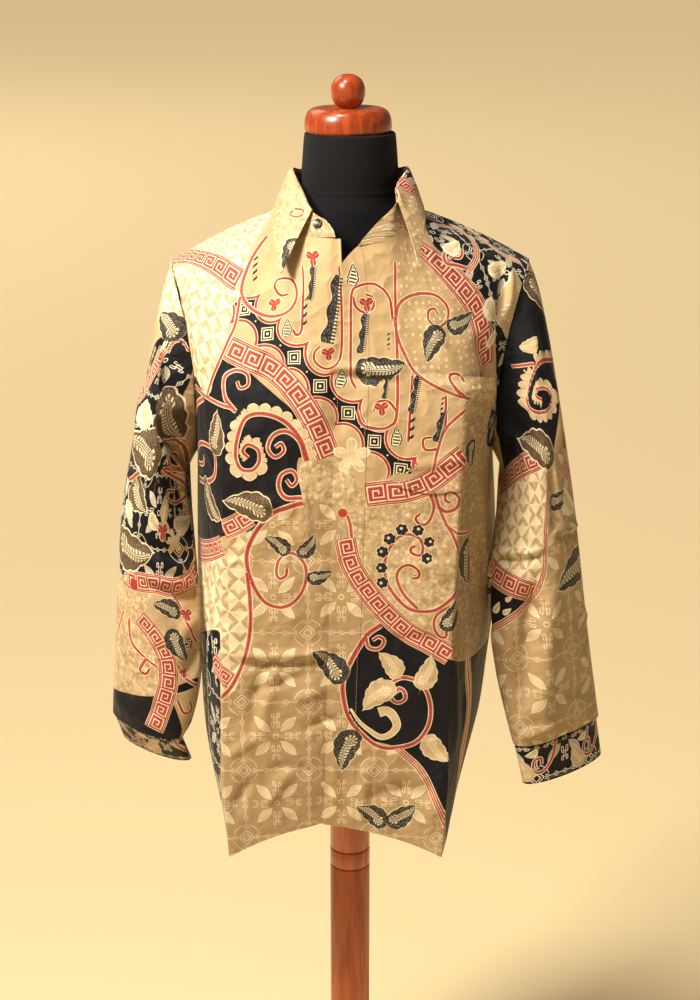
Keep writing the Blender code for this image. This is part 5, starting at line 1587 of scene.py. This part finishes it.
BALL_RADIUS, BALL_HALF_HIGH, BALL_CENTRE, BALL_POWER, BALL_NECK = 0.0197, 0.0201, 1.5466, 2.25, 0.0085
TURN_STEPS = 96
TORSO_SPANS = (8, 14, 17)  # the last rings of the body, of the shoulders and of the neck
NECK_SEAM, NECK_SEAM_RISE = 14.1, 0.0009  # the neck cover's seam, between the form's rings
JERSEY_INSET = 0.0004  # of the cover inside the solid's face


def add_piece(name, vertices, faces, material, sharp=40):
    mesh = bpy.data.meshes.new(name)
    mesh.from_pydata([tuple(v) for v in vertices], [], faces)
    mesh.materials.append(material)
    mesh.shade_smooth()
    mesh.set_sharp_from_angle(angle=radians(sharp))
    return linked(name, mesh)


def turned(name, profile, material, centre=(0, 0), steps=TURN_STEPS, place=None):
    """A turned solid from a profile of (radius, height), from its top on the axis to its foot on it."""
    vertices, faces, previous = [], [], None
    for r, z in profile:
        first = len(vertices)
        around = 1 if r < 1e-6 else steps
        for k in range(around):
            a = 2 * pi * k / steps
            vertices.append((centre[0] + r * cos(a), centre[1] + r * sin(a), z))
        ring = [first + k % around for k in range(steps)]
        if previous:
            for k in range(steps):
                n = (k + 1) % steps
                faces.append(list(dict.fromkeys((previous[k], ring[k], ring[n], previous[n]))))
        previous = ring
    faces = [face for face in faces if len(face) > 2]
    if place:
        origin, turn = place
        vertices = [origin + turn @ Vector(v) for v in vertices]
    return add_piece(name, vertices, faces, material)


def rounded_rim(radius, top, bottom, rounding, steps=9):
    """The outer side of a disc with rounded edges, from its top to its bottom."""
    rim = radius - rounding
    turns = np.linspace(0, pi / 2, steps)
    upper = [(rim + rounding * sin(a), top - rounding * (1 - cos(a))) for a in turns]
    lower = [(rim + rounding * cos(a), bottom + rounding * (1 - sin(a))) for a in turns]
    return upper + lower


def build_wood(orange, brown):
    floor = CAP_TOP - CAP_DISH
    ball = [(0, BALL_CENTRE + BALL_HALF_HIGH)]
    for angle in np.linspace(0, pi, 48)[1:-1]:
        wide = sin(angle) ** (2 / BALL_POWER)
        high = np.sign(cos(angle)) * abs(cos(angle)) ** (2 / BALL_POWER)
        if angle < pi / 2 or BALL_RADIUS * wide > BALL_NECK:
            ball.append((BALL_RADIUS * wide, BALL_CENTRE + BALL_HALF_HIGH * high))
    ball += [(BALL_NECK, floor + SEAM_GAP), (0, floor + SEAM_GAP)]
    finial = turned("wood_ball", ball, orange, (CAP_LEAN, 0))
    foot = NECK_TOP + SEAM_GAP
    rim = through(CAP_PROFILE, np.linspace(0, len(CAP_PROFILE) - 1, 36))
    cap = [(0, floor), (CAP_DISH_RADIUS - CAP_DISH, floor)]
    cap += [(radius * CAP_RADIUS, foot + rise * (CAP_TOP - foot)) for radius, rise in rim]
    cap = turned("wood_cap", cap + [(0, foot)], orange, (CAP_LEAN, 0))
    top, bottom = TORSO_BOTTOM - SEAM_GAP, BASE_HEIGHT + SEAM_GAP
    post = [(0, top), (POST_RADIUS - 0.0006, top), (POST_RADIUS, top - 0.0006)]
    for groove in POST_GROOVES:
        for turn in np.linspace(-pi, pi, 9):
            dip = GROOVE_DEPTH * (1 + cos(turn)) / 2
            post.append((POST_RADIUS - dip, groove - GROOVE_HALF * turn / pi))
    post = turned("wood_post", post + [(POST_RADIUS, bottom), (0, bottom)], brown)
    step = BASE_HEIGHT - BASE_STEP
    base = [(0, BASE_HEIGHT)]
    for out, z in ((-0.002, BASE_HEIGHT), (0, BASE_HEIGHT - 0.001), (0.003, step + 0.001), (0.006, step)):
        base.append((BASE_STEP_RADIUS + out, z))
    base += rounded_rim(BASE_RADIUS, step, 0, BASE_ROUND)
    base = turned("wood_base", base + [(0, 0)], brown, steps=160)
    return {"finial": finial, "neck_cap": cap, "post": post, "base": base}


def torso_ring(place, outward, round_):
    """Points round the form at a place between its rings, moved outward."""
    z, half_wide, front_y, back_y, power = through(TORSO, np.array(float(place)))
    angle = np.linspace(0, 2 * pi, round_, endpoint=False)
    wide = np.sign(np.cos(angle)) * np.abs(np.cos(angle)) ** (2 / power)
    deep = np.sign(np.sin(angle)) * np.abs(np.sin(angle)) ** (2 / power)
    half_deep = (back_y - front_y) / 2 + outward
    x, y = (half_wide + outward) * wide, (front_y + back_y) / 2 + half_deep * deep
    return np.stack([x, y, 0 * x + z], -1)


def build_torso(jersey, round_=160):
    """The covered form: smooth rings, with the neck cover's seam as a fine ridge round its foot."""
    body, shoulders, neck = TORSO_SPANS
    places = np.concatenate([
        np.linspace(0, body, 40), np.linspace(body, shoulders, 70)[1:], np.linspace(shoulders, neck, 40)[1:]
    ])
    out = NECK_SEAM_RISE * np.exp(-(((places - NECK_SEAM) / 0.05) ** 2)) - JERSEY_INSET
    levels = [torso_ring(*row, round_) for row in zip(places, out)]
    vertices = np.concatenate(levels).tolist()
    faces = [list(range(round_))[::-1]]
    for low in range(len(levels) - 1):
        a, b = low * round_, (low + 1) * round_
        faces += [[a + i, a + (i + 1) % round_, b + (i + 1) % round_, b + i] for i in range(round_)]
    faces.append(list(range((len(levels) - 1) * round_, len(levels) * round_)))
    return add_piece("form_torso", vertices, faces, jersey, 60)


def button_places():
    """Each button's name, its centre on the cloth and its outward normal."""
    step = 0.05

    def on_stand(along, up):
        return stand_point(np.array(COLLAR_BUTTON[0] + along), np.array(COLLAR_BUTTON[1] + up))

    over, up = on_stand(step, 0) - on_stand(-step, 0), on_stand(0, step) - on_stand(0, -step)
    found = [("collar_button", on_stand(0, 0), np.cross(up, over))]
    for name, cuff, side in (("left", CUFF_LEFT, 1), ("right", CUFF_RIGHT, -1)):

        def on_cuff(row, along):
            return cuff_point(cuff, np.array(row), np.array(CUFF_BUTTON + along))

        over, up = on_cuff(0.5, 0.02) - on_cuff(0.5, -0.02), on_cuff(0.0, 0) - on_cuff(1.0, 0)
        found.append((f"cuff_button_{name}", on_cuff(0.5, 0), np.cross(up, over) * side))
    return found


def build_button(name, centre, normal, finish, thread):
    """A turned button with a raised rim, and the two bars of thread that hold it."""
    normal = Vector(normal).normalized()
    half = BUTTON_THICK / 2
    turn = normal.to_track_quat("Z", "Y").to_matrix()
    origin = Vector(centre) + normal * (half + WALL / 2 + SEAM_GAP * 2)
    dish = BUTTON_RADIUS * BUTTON_DISH
    profile = [(0, half * 0.35), (dish * 0.75, half * 0.4), (dish, half * 0.62)]
    for angle in np.linspace(0, pi, 13):
        profile.append((BUTTON_RADIUS - half + half * sin(angle), half * cos(angle)))
    button = turned(f"{name}_face", profile + [(0, -half)], finish, steps=48, place=(origin, turn))
    vertices, faces = [], []
    for across in (-BAR_OFF, BAR_OFF):
        for shift in (-STRAND_PITCH, 0.0, STRAND_PITCH):
            run = [
                Vector((across + shift, STRAND_LONG * (t - 0.5), half * 0.35 + STRAND_RISE * sin(pi * t)))
                for t in np.linspace(0, 1, 7)
            ]
            add_tube(vertices, faces, [origin + turn @ point for point in run], STRAND_RADIUS)
    knot = add_piece(f"{name}_thread", vertices, faces, thread, 60)
    return button, knot


def add_tube(vertices, faces, run, radius, sides=6):
    """Adds a thin round tube along the points, closed at both ends."""
    first = len(vertices)
    for i, point in enumerate(run):
        ahead = (run[min(i + 1, len(run) - 1)] - run[max(i - 1, 0)]).normalized()
        over = ahead.orthogonal().normalized()
        up = ahead.cross(over)
        for k in range(sides):
            a = 2 * pi * k / sides
            vertices.append(point + (over * cos(a) + up * sin(a)) * radius)
    for i in range(len(run) - 1):
        a, b = first + i * sides, first + (i + 1) * sides
        faces += [[a + k, a + (k + 1) % sides, b + (k + 1) % sides, b + k] for k in range(sides)]
    faces.append([first + k for k in range(sides)][::-1])
    faces.append([first + (len(run) - 1) * sides + k for k in range(sides)])


# ---- the finishes of the form, its stand, the buttons and the thread ----------------------------


def polished_wood(name, light, dark, rough, coat):
    """Lacquered wood whose grain runs up the turned piece."""
    made, shader = new_material(name)
    place = object_place()
    x, y, z = parts(place)
    stretched = vector(x * 60, y * 60, z * 5)
    rings = sum_of("SINE", noise(stretched, 1.0, 3.0) * 26) * 0.5 + 0.5
    pores = noise(vector(x * 900, y * 900, z * 40), 1.0, 2.0)
    canvas = paint(tuple(light), tuple(dark), rings * 0.55 + noise(place, 14.0, 3.0) * 0.3)
    canvas = paint(canvas, tuple(c * 0.45 for c in dark), inside(0.36 - pores, 0.1) * 0.35)
    set_shader(shader, canvas, {"Roughness": rough, "Coat Weight": coat, "Coat Roughness": 0.08})
    bump(shader, pores + rings * 0.4, 0.00012, 0.25)
    return made


def object_place():
    return Term(Term.tree.nodes.new("ShaderNodeTexCoord").outputs["Object"])


def fine_jersey(name, colour, rough):
    """A fine knit: short ribs round the form and a soft matt nap."""
    made, shader = new_material(name)
    place = object_place()
    x, y, z = parts(place)
    turn = sum_of("ARCTAN2", y, x)
    courses, wales = sum_of("SINE", z * 5200.0), sum_of("SINE", turn * 620.0 + sum_of("SINE", z * 2600.0))
    loops = courses * 0.5 + wales * 0.5
    lint = noise(place, 700.0, 2.0)
    canvas = paint(tuple(colour), tuple(c * 1.7 for c in colour), inside(lint - 0.62, 0.2) * 0.5)
    # The knit is painted darker in the hollows between its loops: painted shade that follows the bump below.
    canvas = shade_by(canvas, 0.9 + loops * 0.12)
    set_shader(shader, canvas, {"Roughness": rough, "Specular IOR Level": 0.12, "Sheen Weight": 0.04})
    bump(shader, loops + lint, 0.00015, 0.5)
    return made


def smooth_finish(name, colour, rough, gloss=0.5, mottle=0.12):
    """A plain finish with a faint cloud in its colour."""
    made, shader = new_material(name)
    cloud = noise(object_place(), 260.0, 2.0)
    canvas = shade_by((*colour, 1), 1.0 - mottle / 2 + cloud * mottle)
    set_shader(shader, canvas, {"Roughness": rough, "Specular IOR Level": gloss})
    return made


def finish_named(name, make, *values):
    """The material of this name, made the first time that it is asked for."""
    return bpy.data.materials.get(name) or make(name, *values)


# ---- stitches -----------------------------------------------------------------------------------

THREAD_PROUD = 0.0002  # how far a stitch's middle stands off the cloth
HEM_ROWS = {"front_left": 7, "front_right": 7, "back": 5}  # rows of the grid up from each hem
LEAF_FLAT_ROW, POCKET_HEM_ROW = 9, 6  # rows of the grid where the leaf lies flat and the mouth is hemmed
HEM_HIDDEN = 22  # more of its columns that the fly hides, where its hem isn't sewn


def stitch_lines(grids):
    """The sewn lines, each as points on the cloth and a little proud of it."""
    lines = []

    def sew(name, rows, columns):
        grid = grids[name]
        lines.append(grid.points[rows, columns] + grid.normals[rows, columns] * (WALL / 2 + THREAD_PROUD))

    everything = slice(None)
    sew("fly_band", everything, -2)
    sew("fly_band", everything, 1)
    for name in ("front_left", "back"):
        sew(name, -HEM_ROWS[name], everything)
    sew("front_right", -HEM_ROWS["front_right"], slice(UNDERLAP_COLUMNS + HEM_HIDDEN, None))
    for name in ("cuff_left", "cuff_right"):
        sew(name, 1, everything)
        sew(name, -2, everything)
    sew("collar_leaf", -2, slice(3, -3))
    for column in (3, -4):
        sew("collar_leaf", slice(LEAF_FLAT_ROW, -1), column)
    for column in (1, -2):
        sew("pocket", slice(0, -1), column)
    for row in (-2, POCKET_HEM_ROW):
        sew("pocket", row, slice(1, -1))
    return lines


def stitch_tree(thread, sizes):
    """Geometry nodes that lay short rounded stitches along every line."""
    tree = bpy.data.node_groups.new("Stitches along lines", "GeometryNodeTree")
    face = tree.interface
    face.new_socket("Lines", in_out="INPUT", socket_type="NodeSocketGeometry")
    sockets = {}
    for label, value in sizes.items():
        socket = face.new_socket(label, in_out="INPUT", socket_type="NodeSocketFloat")
        socket.default_value = value
        sockets[label] = socket.identifier
    face.new_socket("Stitches", in_out="OUTPUT", socket_type="NodeSocketGeometry")
    nodes, link = tree.nodes, tree.links.new
    start, end = nodes.new("NodeGroupInput"), nodes.new("NodeGroupOutput")
    curve = nodes.new("GeometryNodeMeshToCurve")
    points = nodes.new("GeometryNodeCurveToPoints")
    points.mode = "LENGTH"
    ball = nodes.new("GeometryNodeMeshUVSphere")
    ball.inputs["Segments"].default_value, ball.inputs["Rings"].default_value = 6, 4
    ball.inputs["Radius"].default_value = 1.0
    size = nodes.new("ShaderNodeCombineXYZ")
    half = nodes.new("ShaderNodeMath")
    half.operation = "MULTIPLY"
    half.inputs[1].default_value = 0.5
    turn = nodes.new("FunctionNodeAlignRotationToVector")
    turn.axis = "Z"
    copies = nodes.new("GeometryNodeInstanceOnPoints")
    real = nodes.new("GeometryNodeRealizeInstances")
    paint_ = nodes.new("GeometryNodeSetMaterial")
    paint_.inputs["Material"].default_value = thread
    link(start.outputs["Lines"], curve.inputs[0])
    link(curve.outputs[0], points.inputs["Curve"])
    link(start.outputs["Pitch"], points.inputs["Length"])
    link(points.outputs["Points"], copies.inputs["Points"])
    link(points.outputs["Tangent"], turn.inputs["Vector"])
    link(turn.outputs[0], copies.inputs["Rotation"])
    link(ball.outputs["Mesh"], copies.inputs["Instance"])
    link(start.outputs["Stitch length"], half.inputs[0])
    for axis in "XY":
        link(start.outputs["Thread radius"], size.inputs[axis])
    link(half.outputs[0], size.inputs["Z"])
    link(size.outputs[0], copies.inputs["Scale"])
    link(copies.outputs[0], real.inputs[0])
    link(real.outputs[0], paint_.inputs["Geometry"])
    link(paint_.outputs[0], end.inputs[0])
    return tree, sockets


def sewn(name, lines, thread, trim):
    """One plain mesh of all the stitches along the lines."""
    vertices, edges = [], []
    for line in lines:
        first = len(vertices)
        vertices += line.tolist()
        edges += [(first + i, first + i + 1) for i in range(len(line) - 1)]
    wires = bpy.data.meshes.new("seam_lines")
    wires.from_pydata(vertices, edges, [])
    guide = linked("seam_lines", wires)
    sizes = {
        "Pitch": trim.stitch_pitch, "Stitch length": trim.stitch_length, "Thread radius": trim.thread_radius
    }
    tree, sockets = stitch_tree(thread, sizes)
    modifier = guide.modifiers.new("Stitches", "NODES")
    modifier.node_group = tree
    for label, value in sizes.items():
        modifier[sockets[label]] = value
    evaluated = guide.evaluated_get(bpy.context.evaluated_depsgraph_get())
    mesh = bpy.data.meshes.new_from_object(evaluated)
    mesh.name = name
    mesh.shade_smooth()
    bpy.data.objects.remove(guide)
    return linked(name, mesh)


# ---- settings -----------------------------------------------------------------------------------


def colour_setting(name, description, default):
    return FloatVectorProperty(
        name=name, description=description, default=default, size=3, min=0, max=1, subtype="COLOR"
    )


def share_setting(name, description, default):
    return FloatProperty(name=name, description=description, default=default, min=0, max=1, subtype="FACTOR")


def length_setting(name, description, default, least_):
    return FloatProperty(name=name, description=description, default=default, min=least_, unit="LENGTH")


def power_setting(name, description, default):
    return FloatProperty(name=name, description=description, default=default, min=0)


class ClothSettings(bpy.types.PropertyGroup):
    """Dyes and finish of the printed cotton."""

    tan: colour_setting("Tan", "Ground of most of the cloth", (0.56, 0.40, 0.225))
    pale: colour_setting("Pale", "Squares of the pinwheel figure", (0.80, 0.665, 0.44))
    red: colour_setting("Red", "Borders and scrolls", (0.38, 0.036, 0.036))
    navy: colour_setting("Black", "Dark ground, blue-black", (0.0050, 0.0050, 0.0095))
    cream: colour_setting("Cream", "Undyed lines and figures", (0.86, 0.74, 0.52))
    brown: colour_setting("Brown", "Dim ground and shaded figures", (0.27, 0.155, 0.068))
    roughness: share_setting("Roughness", "How matt the cloth is", 0.5)
    sheen: share_setting("Sheen", "Soft light along the cloth's edges", 0.05)
    gloss: share_setting("Gloss", "How strongly the smooth face reflects", 0.2)


class TrimSettings(bpy.types.PropertyGroup):
    """Buttons and sewing thread."""

    button: colour_setting("Button", "Dark buttons", (0.018, 0.017, 0.022))
    thread: colour_setting("Thread", "Sewing thread", (0.60, 0.44, 0.25))
    stitch_pitch: length_setting("Stitch pitch", "From one stitch to the next", 0.0032, 0.001)
    stitch_length: length_setting("Stitch length", "Length of a stitch", 0.0023, 0.0005)
    thread_radius: length_setting("Thread radius", "Half the thread's thickness", 0.00024, 0.0001)


class FormSettings(bpy.types.PropertyGroup):
    """The dress form and its wooden stand."""

    jersey: colour_setting("Jersey", "Cover of the form", (0.0065, 0.0066, 0.009))
    turned: colour_setting("Ball and cap", "Lacquered wood of the ball and the cap", (0.40, 0.062, 0.009))
    turned_dark: colour_setting("Ball and cap grain", "Grain of the ball and the cap", (0.16, 0.018, 0.004))
    post: colour_setting("Post", "Lacquered wood of the post and the base", (0.62, 0.14, 0.03))
    post_dark: colour_setting("Post grain", "Grain of the post and the base", (0.30, 0.05, 0.012))
    lacquer: share_setting("Lacquer", "Strength of the clear coat", 0.35)


class StageSettings(bpy.types.PropertyGroup):
    """The floor and the lights."""

    floor: colour_setting("Floor", "The plain floor", (0.84, 0.68, 0.43))
    lamp: colour_setting("Lamp colour", "Warmth of the lamps", (1.0, 0.90, 0.72))
    key: power_setting("Key lamp", "Power of the near lamp in watts", 44)
    high: power_setting("High lamp", "Strength of the light from above", 2.3)
    wash: power_setting("Floor lamp", "Power of the lamp over the far floor in watts", 650)
    fill: power_setting("Fill", "Strength of the light from all round", 0.17)


def settings(name):
    return getattr(bpy.context.scene, name)


def cotton():
    return finish_named("Batik cotton", batik, settings("shirt_cloth"))


def sewing_thread():
    return finish_named("Sewing thread", smooth_finish, settings("shirt_trim").thread, 0.8, 0.2)


# ---- operators ----------------------------------------------------------------------------------

SIDES = (("left", 1), ("right", -1))
FRONT_CELLS = (292, 62, 46)  # down, from the front edge to the crease, and on to the side
FLY_CELLS = (292, 14)
BACK_CELLS = (210, 70)  # down, and across each half
POCKET_CELLS = (50, 44)
SLEEVE_CELLS = (150, 96)
CUFF_CELLS = (16, 90)
STAND_CELLS = (10, 130)
LEAF_CELLS = (24, 160)

FLOOR_REACH = 80  # metres, so that its edge stays out of sight
KEY_PLACE, KEY_TARGET, KEY_SIZE = (-0.9, -0.78, 2.3), (0, 0, 1.25), 0.3
HIGH_PLACE, HIGH_ANGLE = (-0.32, -0.40, 1.0), radians(14)  # the place is a direction
WASH_PLACE, WASH_TARGET, WASH_SIZE = (-8.0, 10.0, 9.0), (-8.0, 10.0, 0), 10.0
CAMERA_PLACE, CAMERA_TILT, CAMERA_LENS, CAMERA_FAR = (0, -2.20, 1.73), radians(73), 67.8, 500

GRIDS = {}  # every cloth grid by its piece's node, kept for the stitches


def finish_piece(piece, slot, *nodes):
    """A piece rides on the one body and stands for its solids."""
    if len(piece.data.polygons) == 0:
        raise RuntimeError(f"{piece.name} has no faces")
    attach(piece, "root")
    if nodes:
        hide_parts(*nodes)


def make_sheet(node, grid):
    """One cloth piece from its grid."""
    GRIDS[node] = grid
    piece = cloth_mesh("cloth_" + node, grid, cotton())
    finish_piece(piece, "batik", node)


class SHIRT_OT_form(bpy.types.Operator):
    """Builds the covered dress form"""

    bl_idname = "shirt.form"
    bl_label = "Dress form"

    def execute(self, context):
        form = context.scene.shirt_form
        finish_piece(build_torso(fine_jersey("Black jersey", form.jersey, 0.85)), "jersey", "torso")
        return {"FINISHED"}


class SHIRT_OT_stand(bpy.types.Operator):
    """Builds the turned ball, cap, post and base"""

    bl_idname = "shirt.stand"
    bl_label = "Wooden stand"

    def execute(self, context):
        form = context.scene.shirt_form
        coat = form.lacquer
        orange = polished_wood("Orange lacquered wood", form.turned, form.turned_dark, 0.3, coat)
        brown = polished_wood("Red-brown lacquered wood", form.post, form.post_dark, 0.34, coat)
        for node, piece in build_wood(orange, brown).items():
            finish_piece(piece, "orange_wood" if node in ("finial", "neck_cap") else "brown_wood", node)
        return {"FINISHED"}


class SHIRT_OT_body(bpy.types.Operator):
    """Builds the two fronts, the fly band, the back and the pocket"""

    bl_idname = "shirt.body"
    bl_label = "Body and pocket"

    def execute(self, context):
        for name, side in SIDES:
            make_sheet(f"front_{name}", front_grid(side, *FRONT_CELLS))
        make_sheet("fly_band", fly_grid(*FLY_CELLS))
        make_sheet("back", back_grid(*BACK_CELLS))
        make_sheet("pocket", pocket_grid(*POCKET_CELLS))
        return {"FINISHED"}


class SHIRT_OT_sleeves(bpy.types.Operator):
    """Builds the two sleeves and their cuffs"""

    bl_idname = "shirt.sleeves"
    bl_label = "Sleeves and cuffs"

    def execute(self, context):
        for name, side in SIDES:
            make_sheet(f"sleeve_{name}", sleeve_grid(side, *SLEEVE_CELLS))
            make_sheet(f"cuff_{name}", cuff_grid(side, *CUFF_CELLS))
        return {"FINISHED"}


class SHIRT_OT_collar(bpy.types.Operator):
    """Builds the collar's stand and its folded leaf"""

    bl_idname = "shirt.collar"
    bl_label = "Collar"

    def execute(self, context):
        make_sheet("collar_stand", stand_grid(*STAND_CELLS))
        make_sheet("collar_leaf", leaf_grid(*LEAF_CELLS))
        return {"FINISHED"}


class SHIRT_OT_stitches(bpy.types.Operator):
    """Sews the topstitching along the fly, hems, cuffs, collar and pocket"""

    bl_idname = "shirt.stitches"
    bl_label = "Stitches"

    def execute(self, context):
        if not GRIDS:
            raise RuntimeError("the cloth comes before its stitches")
        piece = sewn("seam_stitches", stitch_lines(GRIDS), sewing_thread(), context.scene.shirt_trim)
        finish_piece(piece, "batik")
        return {"FINISHED"}


class SHIRT_OT_buttons(bpy.types.Operator):
    """Builds the collar button and the two cuff buttons, each with its thread"""

    bl_idname = "shirt.buttons"
    bl_label = "Buttons"

    def execute(self, context):
        finish = finish_named("Dark button", smooth_finish, context.scene.shirt_trim.button, 0.25, 0.5)
        for name, centre, normal in button_places():
            button, knot = build_button(name, centre, normal, finish, sewing_thread())
            finish_piece(button, "button", name)
            finish_piece(knot, "button")
        return {"FINISHED"}


class SHIRT_OT_stage(bpy.types.Operator):
    """Lays the floor and sets the lamps and the camera"""

    bl_idname = "shirt.stage"
    bl_label = "Studio"

    def execute(self, context):
        scene, stage = context.scene, context.scene.shirt_stage
        reach = FLOOR_REACH
        corners = [(-reach, -reach, 0), (reach, -reach, 0), (reach, reach, 0), (-reach, reach, 0)]
        plain = smooth_finish("Plain floor", stage.floor, 0.9, 0.1, 0.02)
        add_piece("floor", corners, [[0, 1, 2, 3]], plain)
        place_lamp("key lamp", "AREA", stage.key, stage.lamp, KEY_PLACE, KEY_TARGET, size=KEY_SIZE)
        place_lamp("high lamp", "SUN", stage.high, stage.lamp, HIGH_PLACE, (0, 0, 0), angle=HIGH_ANGLE)
        place_lamp("floor lamp", "AREA", stage.wash, stage.lamp, WASH_PLACE, WASH_TARGET, size=WASH_SIZE)
        scene.world = bpy.data.worlds.new("Warm room")
        scene.world.use_nodes = True
        background = scene.world.node_tree.nodes["Background"]
        background.inputs["Color"].default_value = (*stage.lamp, 1)
        background.inputs["Strength"].default_value = stage.fill
        lens = bpy.data.cameras.new("camera")
        lens.lens, lens.clip_end = CAMERA_LENS, CAMERA_FAR
        scene.camera = linked("camera", lens)
        scene.camera.location = CAMERA_PLACE
        scene.camera.rotation_euler = (CAMERA_TILT, 0, 0)
        scene.view_settings.view_transform = "Standard"
        return {"FINISHED"}


def place_lamp(name, kind, power, colour, place, target, **shape):
    lamp = bpy.data.lights.new(name, kind)
    lamp.energy, lamp.color = power, colour
    for setting, value in shape.items():
        setattr(lamp, setting, value)
    made = linked(name, lamp)
    made.location = place
    made.rotation_euler = (Vector(target) - Vector(place)).to_track_quat("-Z", "Y").to_euler()


class SHIRT_PT_sidebar(bpy.types.Panel):
    """Settings and steps, in the order that they are built"""

    bl_label = "Batik shirt"
    bl_idname = "SHIRT_PT_sidebar"
    bl_space_type = "VIEW_3D"
    bl_region_type = "UI"
    bl_category = "Shirt"

    def draw(self, context):
        for group in GROUPS:
            box = self.layout.box()
            for name in GROUPS[group].__annotations__:
                box.prop(getattr(context.scene, group), name)
        for operator in OPERATORS:
            self.layout.operator(operator.bl_idname)


GROUPS = {
    "shirt_cloth": ClothSettings, "shirt_trim": TrimSettings, "shirt_form": FormSettings,
    "shirt_stage": StageSettings,
}
OPERATORS = (
    SHIRT_OT_form, SHIRT_OT_stand, SHIRT_OT_body, SHIRT_OT_sleeves, SHIRT_OT_collar, SHIRT_OT_stitches,
    SHIRT_OT_buttons, SHIRT_OT_stage,
)


def register():
    for cls in (*GROUPS.values(), *OPERATORS, SHIRT_PT_sidebar):
        bpy.utils.register_class(cls)
    for name, group in GROUPS.items():
        setattr(bpy.types.Scene, name, PointerProperty(type=group))


def unregister():
    for name in GROUPS:
        delattr(bpy.types.Scene, name)
    for cls in reversed((*GROUPS.values(), *OPERATORS, SHIRT_PT_sidebar)):
        bpy.utils.unregister_class(cls)


def main():
    register()
    for operator in OPERATORS:
        group, name = operator.bl_idname.split(".")
        getattr(getattr(bpy.ops, group), name)()


if __name__ == "__main__":
    main()
